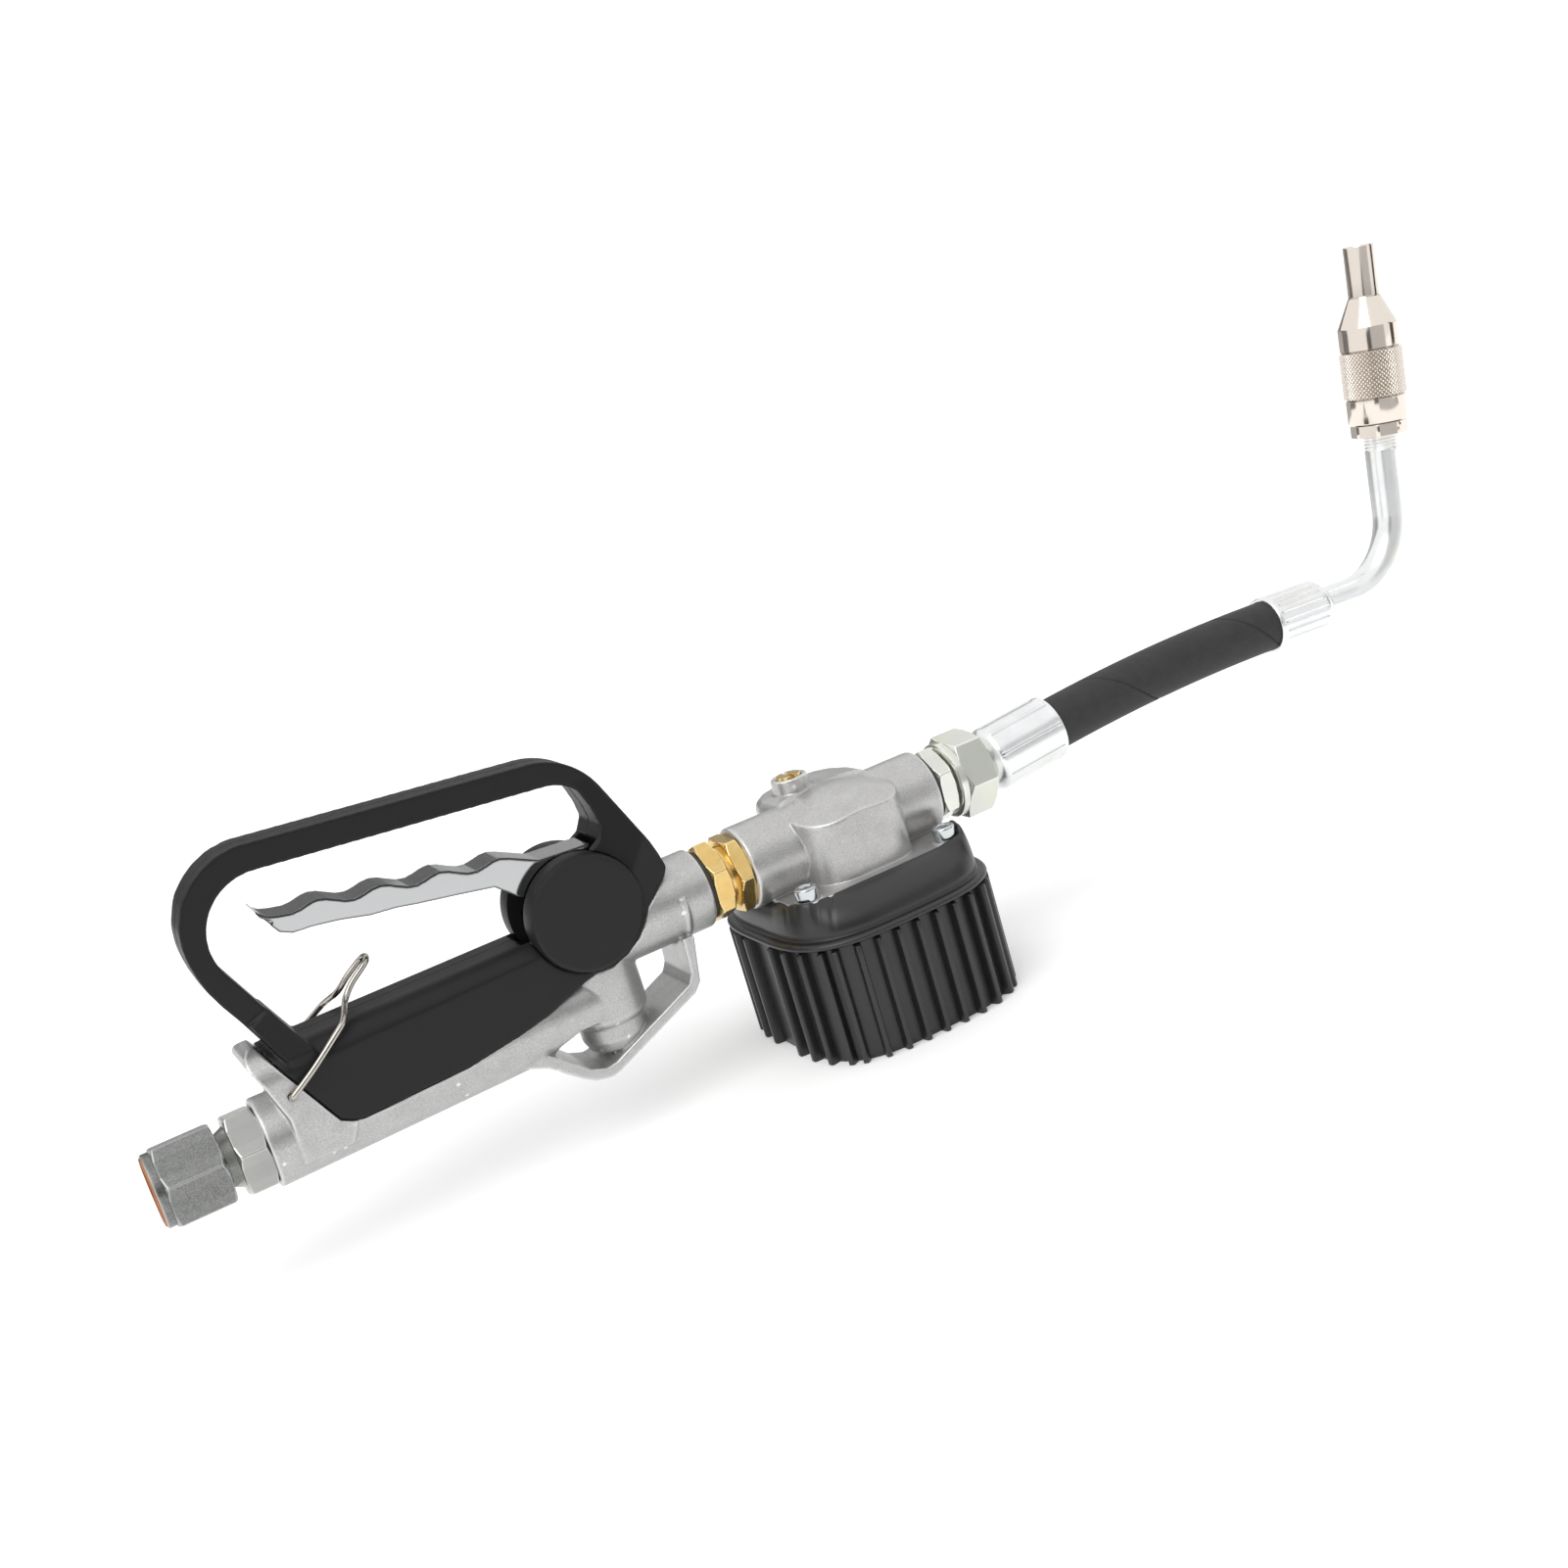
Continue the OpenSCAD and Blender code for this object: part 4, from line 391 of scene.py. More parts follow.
# the three zinc finishes below: their light edge colours are painted highlights
ZINC_DARK = material("zinc_dark", (0.215, 0.22, 0.215), 0.90, 0.36, mottle=0.12, mottle_scale=500,
                     rough_var=0.10, grain=0.012, grain_scale=1500, speckle=(0.35, 2200), edge=0.06,
                     painted_edge_reflection=(0.62, 0.63, 0.61))
ZINC_GREY = material("zinc_grey", (0.40, 0.405, 0.39), 0.92, 0.26, mottle=0.05, mottle_scale=90,
                     rough_var=0.05, edge=0.06, painted_edge_reflection=(0.74, 0.75, 0.72))
SCREW = material("screw_zinc", (0.62, 0.65, 0.66), 1.0, 0.16, rough_var=0.04)
ZINC_PALE = material("zinc_pale", (0.74, 0.755, 0.70), 0.92, 0.20, mottle=0.04, mottle_scale=60,
                     rough_var=0.05, tint=((0.80, 0.79, 0.62), 60, 0.52, 0.8), edge=0.05,
                     painted_edge_reflection=(0.90, 0.91, 0.84))
ZINC_BRIGHT = material("zinc_bright", (0.87, 0.885, 0.89), 0.90, 0.25, mottle=0.04, mottle_scale=120,
                       rough_var=0.05, tint=((0.84, 0.84, 0.76), 80, 0.55, 0.8))
# chrome: the near-black edge colour is a painted reflection of dark surroundings
CHROME = material("chrome", (0.50, 0.505, 0.51), 1.0, 0.10, lump=0.02, lump_scale=140, edge=0.03,
                  painted_edge_reflection=(0.05, 0.05, 0.052))
STEEL = material("steel_bright", (0.56, 0.56, 0.56), 1.0, 0.25)
SPRING = material("spring_steel", (0.35, 0.35, 0.35), 1.0, 0.35)
LATCH = material("latch_steel", (0.50, 0.475, 0.43), 1.0, 0.24)
# brass: the light edge colour is a painted highlight; the dark patches and spots are tarnish
BRASS = material("brass_worn", (0.76, 0.53, 0.20), 0.97, 0.22, mottle=0.08, mottle_scale=150,
                 rough_var=0.06, tint=((0.60, 0.40, 0.15), 70, 0.58, 0.85),
                 spots=((0.30, 0.19, 0.08), 420, 0.76), grain=0.003, grain_scale=700, edge=0.05,
                 painted_edge_reflection=(0.95, 0.78, 0.42))
# nickel: hollows take painted shade
NICKEL = material("tip_nickel", (0.82, 0.745, 0.67), 1.0, 0.13, rough_var=0.02, mottle_scale=80,
                  painted_hollow_shade=0.03)
GEAR = material("gear_polymer", (0.06, 0.06, 0.065), 0.0, 0.5)
BOARD = material("board_green", (0.02, 0.12, 0.04), 0.0, 0.4)
SCREEN = material("screen_grey", (0.30, 0.34, 0.26), 0.0, 0.25)
WRAP = material("battery_wrap", (0.05, 0.08, 0.2), 0.0, 0.3)
KEY = material("key_grey", (0.12, 0.12, 0.125), 0.0, 0.5)
WINDOW = material("window_clear", (0.9, 0.92, 0.92), 0.0, 0.05)
WINDOW.node_tree.nodes["Principled BSDF"].inputs["Transmission Weight"].default_value = 1.0


# ------------------------------------------------------------------ castings and mouldings
def drum_shoulder():
    """Points and faces of the drum's far shoulder, which stands fuller than its near one."""
    plan = np.array([(-21.4, -2), (-22.0, 8), (-22.3, 14), (-20.8, 20), (-16.5, 24.6), (-9, 27.3),
                     (2, 27.8), (10.5, 25.6), (16, 20.5), (19.6, 12), (20.4, -2)])
    middle = np.array([-1.0, 8.0])
    levels = ((28, 1.0), (34.5, 1.0), (37.0, 0.965), (38.7, 0.89), (39.6, 0.76), (40.0, 0.55))
    verts, n = [], len(plan)
    for z, scale in levels:
        p = middle + (plan - middle) * scale
        verts += [(METER_X + x, max(y, -2.0 * scale), z) for x, y in p]
    faces = [(a, d, c, b) for a, b, c, d in grid_faces(len(levels), n)]
    faces += [tuple(range(n)), tuple(range(len(verts) - n, len(verts)))[::-1]]
    return np.array(verts) * MM, faces


piece(recast("valve_body_skin", "valve_body", 0.45, 7), "handle", "valve_body", CAST)
for side in ("near", "far"):
    cover = recast(f"cover_{side}_skin", "grip_cover_" + side, 0.5, 8)
    piece(cover, "handle", "grip_cover_" + side, COVER)
    dress("pivot_cap_" + side, CAP, 0.8, 3)
piece(recast("trigger_skin", "trigger_lever", 0.33, 8), "trigger", "trigger_lever", CHROME)
meter = recast("meter_skin", "meter_body", 0.5, 8, drum_shoulder())
piece(meter, "handle", "meter_body", METER)

# ------------------------------------------------------------------ boot
WALL_X, WALL_Y, WALL_N = 41.2, BOOT_Y - RIB_OUT, 3.4    # superellipse between the ribs
WALL_COLS = 1500                                        # points round the boot
RIBS_NEAR_FAR = (-30.6, -23.5, -16.0, -8.1, 0, 8.1, 16.0, 23.5, 30.6)   # x of the near and far ribs
RIBS_ENDS = (10.3, 19.9, 28.6, 35.6)                    # y, on both sides of the middle
RIB_FLAT, RIB_HALF, RIB_FLANK = 0.6, 1.35, 0.75         # half crest, half foot, and width of a flank
RIB_TOP = -7.9
BEAD_Z, BEAD_IN, BEAD_UP, BEAD_OUT = -5.2, 1.1, 1.5, 2.3    # half round that runs round the boot
EDGE_Z, EDGE_TOP = -3.0, 9.4                            # where the boot turns in, and its top edge
LUG_OPEN = 4.9                                          # radius of the opening round a screw's lug


def boot_wall():
    """Wall outline: evenly spaced points, outward normals, and the share of the rib at each."""
    raw = np.linspace(0, 2 * math.pi, 20001)[:-1]
    fine = np.stack([size * np.sign(t) * np.abs(t) ** (2 / WALL_N)
                     for size, t in ((WALL_X, np.cos(raw)), (WALL_Y, np.sin(raw)))], -1)
    arc = np.concatenate([[0], np.cumsum(np.linalg.norm(np.roll(fine, -1, 0) - fine, axis=1))])
    total = arc[-1]
    at = np.arange(WALL_COLS) * total / WALL_COLS
    wall = np.stack([np.interp(at, arc, np.append(fine[:, k], fine[0, k])) for k in (0, 1)], -1)
    tang = np.roll(wall, -1, 0) - np.roll(wall, 1, 0)
    tang /= np.linalg.norm(tang, axis=1)[:, None]

    def across(t, half, other):
        return other * (1 - (abs(t) / half) ** WALL_N) ** (1 / WALL_N)

    places = [(x, s * across(x, WALL_X, WALL_Y)) for x in RIBS_NEAR_FAR for s in (-1, 1)]
    places += [(s * across(y, WALL_Y, WALL_X), t * y)
               for y in RIBS_ENDS for t in (-1, 1) for s in (-1, 1)]
    rib = np.zeros(WALL_COLS)
    for px, py in places:
        middle = arc[np.argmin((fine[:, 0] - px) ** 2 + (fine[:, 1] - py) ** 2)]
        d = np.abs((at - middle + total / 2) % total - total / 2)
        flank = np.sin(np.clip((RIB_HALF - d) / RIB_FLANK, 0, 1) * math.pi / 2) ** 0.55
        rib = np.maximum(rib, np.where(d < RIB_FLAT, 1.0, flank))
    return wall, np.stack([tang[:, 1], -tang[:, 0]], -1), rib


def boot_opening(ray):
    """Reach of the opening along each ray: it follows the meter's plate and the lugs of its screws."""
    tries, smooth = np.linspace(20, 60, 801), 19
    q = np.abs(ray[:, None, :] * tries[None, :, None])
    core = np.maximum(q - np.array([PLATE_X - PLATE_R, PLATE_Y - PLATE_R]), 0)
    inside = np.hypot(core[..., 0], core[..., 1]) < PLATE_R
    inside |= np.hypot(q[..., 0] - LUG_X, q[..., 1] - LUG_Y) < LUG_OPEN
    reach = tries[len(tries) - 1 - np.argmax(inside[:, ::-1], axis=1)]
    kernel, side = np.hanning(smooth), smooth // 2
    looped = np.concatenate([reach[-side:], reach, reach[:side]])
    return np.convolve(looped, kernel / kernel.sum(), "valid")


def boot_top(deg):
    """Height of the top edge by angle: ears at the outlet-side screws, low middles, notched corners."""
    def bump(centre, half, soft):
        d = np.abs((deg - centre + 180) % 360 - 180)
        return 1 / (1 + np.exp((d - half) / soft))

    top = (EDGE_TOP + 4.2 * (bump(-34, 6.5, 1.0) + bump(34, 6.5, 1.0))
           - 1.6 * (bump(0, 20, 1.5) + bump(180, 20, 1.5)))
    for corner in (-138, -45, 45, 138):
        top = top + 0.8 * bump(corner, 6, 1.0)
    notches = bump(-149, 1.6, 0.4) + bump(-133, 1.2, 0.3) + bump(-126, 1.0, 0.3) + bump(149, 1.5, 0.4)
    return top - 0.8 * notches


def boot_skin():
    wall, normal, rib = boot_wall()
    rows = []

    def row(z, off=0.0, ribs=0.0):
        p = wall + normal * (off + rib[:, None] * RIB_OUT * ribs)
        rows.append(np.column_stack([p, np.full(WALL_COLS, z)]))

    # underside and ribbed wall
    for up, off, ribs in ((0.0, -3.0, 0.0), (0.0, -0.6, 0.85), (0.15, -0.2, 0.95), (0.6, 0.0, 1.0)):
        row(FOOT + up, off, ribs)
    for z in np.linspace(FOOT + 3, RIB_TOP, 9):
        row(z, 0.0, 1.0)
    # rounded rib tops, then the bead
    for k in range(1, 8):
        a = k / 7 * math.pi / 2
        row(RIB_TOP + 1.0 * math.sin(a), 0.0, math.cos(a) * 0.95 + 0.05)
    row(-6.8, 0.3)
    for k in range(13):
        a = -math.pi / 2 + k / 12 * math.pi
        row(BEAD_Z + BEAD_UP * math.sin(a), BEAD_IN + BEAD_OUT * math.cos(a))
    for z, off in ((-3.6, 0.4), (-3.3, -0.2), (EDGE_Z, -0.3)):
        row(z, off)
    # skirt up to the opening, then the lip and its inner side; w runs from the wall to the opening
    phi = np.arctan2(wall[:, 1], wall[:, 0])
    ray = np.stack([np.cos(phi), np.sin(phi)], -1)
    hole, top = boot_opening(ray), boot_top(np.degrees(phi))
    for w, rise in ((0.01, 0.08), (0.04, 0.20), (0.09, 0.33), (0.17, 0.46), (0.27, 0.58), (0.39, 0.69),
                    (0.52, 0.785), (0.65, 0.86), (0.78, 0.92), (0.90, 0.965), (1.0, 0.99)):
        p = wall * (1 - w) + ray * (hole + 1.5)[:, None] * w
        rows.append(np.column_stack([p, EDGE_Z + (top - EDGE_Z) * rise]))
    for out, dz in ((1.3, 0.05), (0.9, 0.18), (0.5, 0.15), (0.2, -0.1), (0.1, -0.6), (0.05, -6.0)):
        rows.append(np.column_stack([ray * (hole + out)[:, None], top + dz]))
    pts = np.concatenate(rows)
    pts[:, 0] += METER_X
    return new_object("boot_skin", pts * MM, grid_faces(len(rows), WALL_COLS), 50.0)


piece(boot_skin(), "handle", "boot", BOOT)


# ------------------------------------------------------------------ hose, ferrules, tube
def hose_skin():
    """Bent hose with the spiral seam of its wrapped cover."""
    seg, count, pitch, seam_at = 96, 560, 66.0, 38.2
    groove, groove_w, lap, lap_at, lap_w = 0.75, 0.36, 0.06, 0.9, 0.5
    rows, ang = [], circle(seg)
    for t in -1.0 + (HOSE_LEN + 2.0) * np.arange(count + 1) / count:
        d = t - seam_at - pitch * (ang - math.pi) / (2 * math.pi)
        d = d - np.round(d / pitch) * pitch
        r = (HOSE_R - FIT - groove * np.exp(-(d / groove_w) ** 2)
             - lap * np.exp(-((d - lap_at) / lap_w) ** 2))
        turn, up = -t / ARC_R, r * np.sin(ang)
        px = REAR_LEN + ARC_R * math.sin(t / ARC_R)
        pz = -ARC_R * (1 - math.cos(t / ARC_R))
        rows.append(np.stack([px - up * math.sin(turn), r * np.cos(ang), pz + up * math.cos(turn)], -1))
    pts = placed(np.concatenate(rows), HOSE_AT)
    return new_object("hose_skin", pts * MM, grid_faces(count + 1, seg), None)


def rear_ferrule_skin():
    """Round sleeve with narrow crimp ridges, a fine line along each side of a ridge."""
    outer, end = HOSE_R + 2.6, REAR_LEN
    ridges, height, line_depth = 8, 0.40, 0.25
    prof = [(4.0, 8.0), (1.5, 8.0), (1.5, 9.7), (1.8, 10.2), (3.2, 11.5), (4.4, outer - 0.45),
            (5.4, outer - 0.12)]
    prof += [(s, outer) for s in np.linspace(6.4, end - 3.0, 30)]
    prof += [(end - 2.4, outer), (end - 1.2, outer - 0.02), (end - 0.3, outer - 0.15),
             (end, outer - 0.5), (end, HOSE_R + 0.1), (end - 3, HOSE_R + 0.05)]

    def radius(s, r, th):
        k = np.abs((th * ridges / (2 * math.pi) + 0.36) % 1.0 - 0.5)
        ridge = 1 / (1 + np.exp(-(k - 0.435) / 0.008))
        line = line_depth * np.exp(-((k - 0.412) / 0.012) ** 2)
        on = np.clip((s - 5.0) / 1.6, 0, 1) * np.clip((end - 1.4 - s) / 1.2, 0, 1)
        return r - on * (height - height * ridge + line)

    return lathe("rear_ferrule_skin", HOSE_AT, prof, 640, radius)


def front_ferrule_skin():
    """Thin sleeve with grooves along it."""
    outer, end = HOSE_R + 1.4, FRONT_LEN
    grooves, depth = 20, 0.55
    prof = [(2.0, HOSE_R + 0.1), (0.0, HOSE_R + 0.1), (0.0, outer - 0.6), (0.4, outer - 0.15),
            (1.0, outer)]
    prof += [(s, outer) for s in np.linspace(1.8, end - 5.0, 40)]
    prof += [(end - 4.2, outer), (end - 3.2, outer - 0.1), (end - 0.9, outer - 1.6),
             (end - 0.3, outer - 2.0), (end, outer - 2.5), (end, TUBE_R), (end - 2, TUBE_R)]

    def radius(s, r, th):
        k = (th * grooves / (2 * math.pi)) % 1.0 - 0.5
        on = np.clip((s - 2.2) / 1.0, 0, 1) * np.clip((end - 4.6 - s) / 1.0, 0, 1)
        return r - np.exp(-(k / 0.14) ** 2) * depth * on

    return lathe("front_ferrule_skin", FRONT_AT, prof, 400, radius)


def tube_skin():
    """Bent tube with the thread at its tip end."""
    bend_x = FRONT_LEN + TUBE_LEAD
    local = [(x, 0, 0) for x in np.linspace(FRONT_LEN - 4, bend_x, 12)]
    for a in np.radians(TUBE_BEND * np.arange(1, 61) / 60):
        local.append((bend_x + TUBE_BEND_R * math.sin(a), 0, TUBE_BEND_R * (1 - math.cos(a))))
    tip = np.array(TIP_AT)
    leg = np.concatenate([np.linspace(-TUBE_LEG + 1.5, -7.5, 10), np.linspace(-7.2, 1.0, 60)])
    path = np.concatenate([placed(np.array(local), FRONT_AT), tip[:3, 3] + leg[:, None] * tip[:3, 0]])
    total = np.sum(np.linalg.norm(np.diff(path, axis=0), axis=1))
    thread_from, pitch, root, wave = -6.4, 1.4, 0.28, 0.22

    def radius(at, th):
        t = at - (total - 1.0)
        if t < thread_from:
            return np.full(th.shape, TUBE_R)
        cut = min(1.0, (t - thread_from) / 1.2)
        return TUBE_R - root * cut + wave * cut * np.cos((t / pitch) * 2 * math.pi - th)

    return sweep("tube_skin", path, radius, 64)


piece(hose_skin(), "handle", "hose", HOSE)
piece(rear_ferrule_skin(), "handle", "rear_ferrule", ZINC_BRIGHT)
piece(front_ferrule_skin(), "handle", "front_ferrule", ZINC_BRIGHT)
piece(tube_skin(), "handle", "bent_tube", ZINC_BRIGHT)


# ------------------------------------------------------------------ tip and latch
def tip_sleeve_skin():
    """Sleeve with a diamond knurl, a cone and the spout."""
    foot, knurl0, knurl1 = 5.6, 16.3, 35.6
    cone0, cone1 = knurl1 + 10, knurl1 + 22
    end = cone1 + 21
    grip, band, spout, bore = 12.8, 12.3, 6.35, 4.6     # radii
    count, depth = 44, 0.55                             # diamonds round the knurl, and their height
    prof = [(foot, 9.5), (foot, band - 0.5), (foot + 0.15, band - 0.2), (foot + 0.5, band)]
    prof += [(knurl0 - 0.75, band), (knurl0 - 0.6, band - 0.15), (knurl0 - 0.55, band - 0.6),
             (knurl0 - 0.1, band - 0.6), (knurl0, grip - 0.45), (knurl0 + 0.15, grip - 0.2)]
    prof += [(s, grip) for s in np.linspace(knurl0 + 0.3, knurl1 - 0.3, 150)]
    prof += [(knurl1 - 0.15, grip - 0.2), (knurl1, grip - 0.45), (knurl1 + 0.1, band - 0.6),
             (knurl1 + 0.55, band - 0.6), (knurl1 + 0.6, band - 0.15), (knurl1 + 0.75, band)]
    prof += [(cone0 - 0.2, band), (cone0, band - 0.06), (cone0 + 0.25, band - 0.25)]
    prof += [(cone1 - 0.7, spout + 0.55), (cone1 - 0.2, spout + 0.12), (cone1 + 0.4, spout)]
    prof += [(end - 0.8, spout), (end - 0.35, spout - 0.12), (end - 0.1, spout - 0.35),
             (end, spout - 0.75), (end, 4.9), (end - 0.4, bore), (end - 14, bore)]

    def radius(s, r, th):
        if not knurl0 + 0.2 < s < knurl1 - 0.2:
            return r
        a, b = th * count / (2 * math.pi), (s - knurl0) * count / (2 * math.pi * grip)
        u = np.abs((a + b) % 1.0 - 0.5) * 2
        v = np.abs((a - b) % 1.0 - 0.5) * 2
        return r - depth * (1 - np.clip(np.minimum(1 - u, 1 - v) * 1.7, 0, 1))

    return lathe("tip_sleeve_skin", TIP_AT, prof, 704, radius)


def latch_skin():
    """Wire bent round the grip: half of its control points, mirrored, on a Catmull-Rom curve."""
    lx, lz = BODY_X + 12, 16.5
    half = [(0, 13, 0), (0, 16.6, 0), (0.2, 17.8, 0.2), (1.5, 18.25, 1.1), (10, 18, 6.6),
            (22, 15.2, 14.5), (24.6, 13.6, 16.3), (26.6, 10.0, 18.2), (28.2, 6.6, 19.9),
            (30.0, 4.9, 21.6), (33, 4.1, 24.4), (37.6, 3.7, 27.6), (39.6, 3.1, 28.9),
            (40.6, 1.9, 29.6), (40.9, 0.6, 29.8)]
    near = [(lx + x, -y, lz + z) for x, y, z in half]
    p = np.array(near + [(x, -y, z) for x, y, z in near[::-1]], float)
    path = []
    for i in range(len(p) - 1):
        a, b, c, d = p[max(i - 1, 0)], p[i], p[i + 1], p[min(i + 2, len(p) - 1)]
        for t in np.linspace(0, 1, 7)[:-1]:
            path.append(0.5 * ((2 * b) + (c - a) * t + (2 * a - 5 * b + 4 * c - d) * t ** 2
                               + (3 * b - a - 3 * c + d) * t ** 3))
    return sweep("latch_skin", path + [p[-1]], 1.08, 20)


piece(tip_sleeve_skin(), "tip_twist", "tip_sleeve", NICKEL)
piece(latch_skin(), "latch", "latch_wire", LATCH)


# ------------------------------------------------------------------ hexagonal pieces and screws
def thread(s0, s1, r, depth, pitch=1.814):
    """Rows of an inner thread, by default with the pitch of G1/2."""
    wave = circle(360)
    return [(s, r + depth * (0.5 + 0.5 * np.cos(2 * math.pi * s / pitch - wave)))
            for s in np.arange(s0, s1, pitch / 8)]


def swivel_nut_skin():
    rows = [(SWIVEL_LEN, 8.1), (20.2, 8.1), (20.2, 9.7), (14.1, 9.7), (14.0, 9.3)]
    rows += thread(1.6, 13.8, 9.3, 0.75)[::-1]
    rows += [(1.3, 10.3), (1.0, 10.6), (1.0, 12.2), (0.0, 12.3), (0.0, 12.55), (0.08, 12.75),
             (0.35, 12.98), (0.6, 13.0), (2.2, 13.0), (2.9, 13.0)]
    rows += hex_rows(3.0, SWIVEL_LEN, NUT_AF, 15) + rows[:1]
    return ringed("swivel_nut_skin", LOW, rows)


def adapter_skin():
    rows = [(52, 5.5), (25, 5.5), (25, 6.7), (15, 6.7), (15, 8.1), (16, 9.1), (19.8, 9.1), (19.8, 8.0),
            (24.1, 8.0), (24.1, 9.4), (24.3, 9.6), (24.6, 9.75), (27.2, 10.9), (NECK_END, 11.2)]
    rows += hex_rows(NECK_END, BODY_X, NUT_AF, 17) + [(BODY_X, 9.8), (51.2, 9.8), (52, 9.0)] + rows[:1]
    return ringed("adapter_skin", LOW, rows)


def brass_nipple_skin():
    x0, x1 = OUT_X - 14, METER_X0 + 14
    h0, h1 = OUT_X + 1.8, OUT_X + 8.6
    rows = [(x1, 7.0), (x0, 7.0), (x0, PORT_R - 0.6), (x0 + 0.7, PORT_R), (h0, PORT_R), (h0, 12.0)]
    rows += hex_rows(h0, h1, NUT_AF, 5)
    rows += [(h1, PORT_R), (x1 - 0.7, PORT_R), (x1, PORT_R - 0.6)] + rows[:1]
    return ringed("brass_nipple_skin", HIGH, rows)


def brass_lock_nut_skin():
    x0, x1 = OUT_X + 9.4, METER_X0
    rows = [(x1, PORT_R + 0.1), (x0, PORT_R + 0.1), (x0, BAR_R - 0.4), (x0 + 0.35, BAR_R),
            (x0 + 2.2, BAR_R)]
    rows += hex_rows(x0 + 2.2, x1, NUT_AF, 30) + rows[:1]
    return ringed("brass_lock_nut_skin", HIGH, rows)


def outlet_nipple_skin():
    x0, x1, h0 = METER_X1 - 14, NUT_X0 + 9, METER_X1 + 2
    rows = [(x1, 8.4), (NUT_X0 + 5, 6.0), (x0, 6.0), (x0, PORT_R - 0.6), (x0 + 0.7, PORT_R),
            (h0, PORT_R), (h0, 12.0)]
    rows += hex_rows(h0, h0 + 6.4, 26, 3) + [(h0 + 6.4, PORT_R), (x1, PORT_R)] + rows[:1]
    return ringed("outlet_nipple_skin", HIGH, rows)


def hose_nut_skin():
    x0, x1 = NUT_X0, NUT_X0 + 16
    rows = [(x1, 8.2), (x0 + 12.4, 8.2), (x0 + 12.4, PORT_R + 0.1), (x0, PORT_R + 0.1), (x0, 13.9),
            (x0 + 0.15, 14.3), (x0 + 0.55, 14.92), (x0 + 0.9, 15.0), (x0 + 2.4, 15.0), (x0 + 3.0, 15.0)]
    rows += hex_rows(x0 + 3.1, x1, 30, 36) + rows[:1]
    return ringed("hose_nut_skin", HIGH, rows)


def screws_skin():
    """Four socket screws with round-edged heads, each key hexagon turned its own way."""
    verts, faces, seg = [], [], 120
    deg = np.arange(seg) * 3.0
    for sx in (-1, 1):
        for sy in (-1, 1):
            turn = 20 * sx + 35 * sy
            key = 2.0 / np.cos(np.radians((deg - turn) % 60 - 30))
            rows = [(-12.2, 0.02), (-12.2, 2.5), (9.8, 2.5), (9.8, 4.05), (9.9, 4.2), (10.1, 4.25),
                    (13.9, 4.25), (14.2, 4.22), (14.5, 4.08), (14.7, 3.8), (14.8, 3.45), (14.8, 3.0),
                    (14.76, key + 0.35), (14.55, key + 0.08), (14.4, key), (12.2, key),
                    (12.1, key * 0.9), (11.9, 0.02)]
            up = Matrix(((0, 1, 0, METER_X + LUG_X * sx), (0, 0, 1, LUG_Y * sy),
                         (1, 0, 0, 0), (0, 0, 0, 1)))
            p, f = rings(up, rows, seg)
            faces += [tuple(len(verts) + i for i in q) for q in f]
            verts += list(p)
    return new_object("meter_screws_skin", np.array(verts) * MM, faces, 40.0)


piece(swivel_nut_skin(), "inlet_swivel", "swivel_nut", ZINC_DARK)
piece(adapter_skin(), "handle", "inlet_adapter", ZINC_GREY)
piece(brass_nipple_skin(), "handle", "brass_nipple", BRASS)
piece(brass_lock_nut_skin(), "handle", "brass_lock_nut", BRASS)
piece(outlet_nipple_skin(), "handle", "outlet_nipple", ZINC_PALE)
piece(hose_nut_skin(), "handle", "hose_nut", ZINC_PALE)
piece(screws_skin(), "handle", "meter_screws", SCREW)

# the valve spring, which shortens as the stem lifts, as a baked mesh of its own on the handle
spring = baked(copy_of("valve_spring"), "valve_spring_skin", 60)
piece(spring, "handle", "valve_spring", SPRING)
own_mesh(spring)

# ------------------------------------------------------------------ CAD nodes shown as they are
for node, finish, bevel in (
        ("inlet_washer", COPPER, 0), ("swivel_clip", SPRING, 0), ("inlet_strainer", STEEL, 0),
        ("outlet_washer", FIBRE, 0.2), ("outlet_seal", FIBRE, 0), ("hose_tail", ZINC_BRIGHT, 0.1),
        ("brass_plug", BRASS, 0.2), ("meter_gasket", SEAL, 0), ("gear_plate", METER, 0),
        ("gear_shafts", STEEL, 0), ("gear_a_rotor", GEAR, 0), ("gear_b_rotor", GEAR, 0),
        ("display_housing", HOUSING, 0), ("display_board", BOARD, 0), ("display_screen", SCREEN, 0),
        ("display_window", WINDOW, 0), ("battery", WRAP, 0), ("battery_clip", HOUSING, 0),
        ("button_left", KEY, 0.3), ("button_right", KEY, 0.3), ("cover_screws", SPRING, 0.2),
        ("trigger_pin", STEEL, 0.2), ("pin_clips", SPRING, 0), ("trigger_roller", STEEL, 0.1),
        ("valve_seat", BRASS, 0), ("stem_gland", BRASS, 0), ("gland_seal", SEAL, 0),
        ("valve_stem", STEEL, 0.1), ("poppet_seal", SEAL, 0), ("tip_base", NICKEL, 0.2),
        ("tip_seal", SEAL, 0), ("tip_poppet", STEEL, 0.1)):
    dress(node, finish, bevel)


# ------------------------------------------------------------------ floor and cards
def seen_rays(tree):
    """1 for camera, glossy and transmission rays, 0 for the rays that light the object."""
    rays = tree.nodes.new("ShaderNodeLightPath")
    total = rays.outputs["Is Camera Ray"]
    for name in ("Is Glossy Ray", "Is Transmission Ray"):
        top = tree.nodes.new("ShaderNodeMath")
        top.operation = "MAXIMUM"
        tree.links.new(total, top.inputs[0])
        tree.links.new(rays.outputs[name], top.inputs[1])
        total = top.outputs[0]
    return total


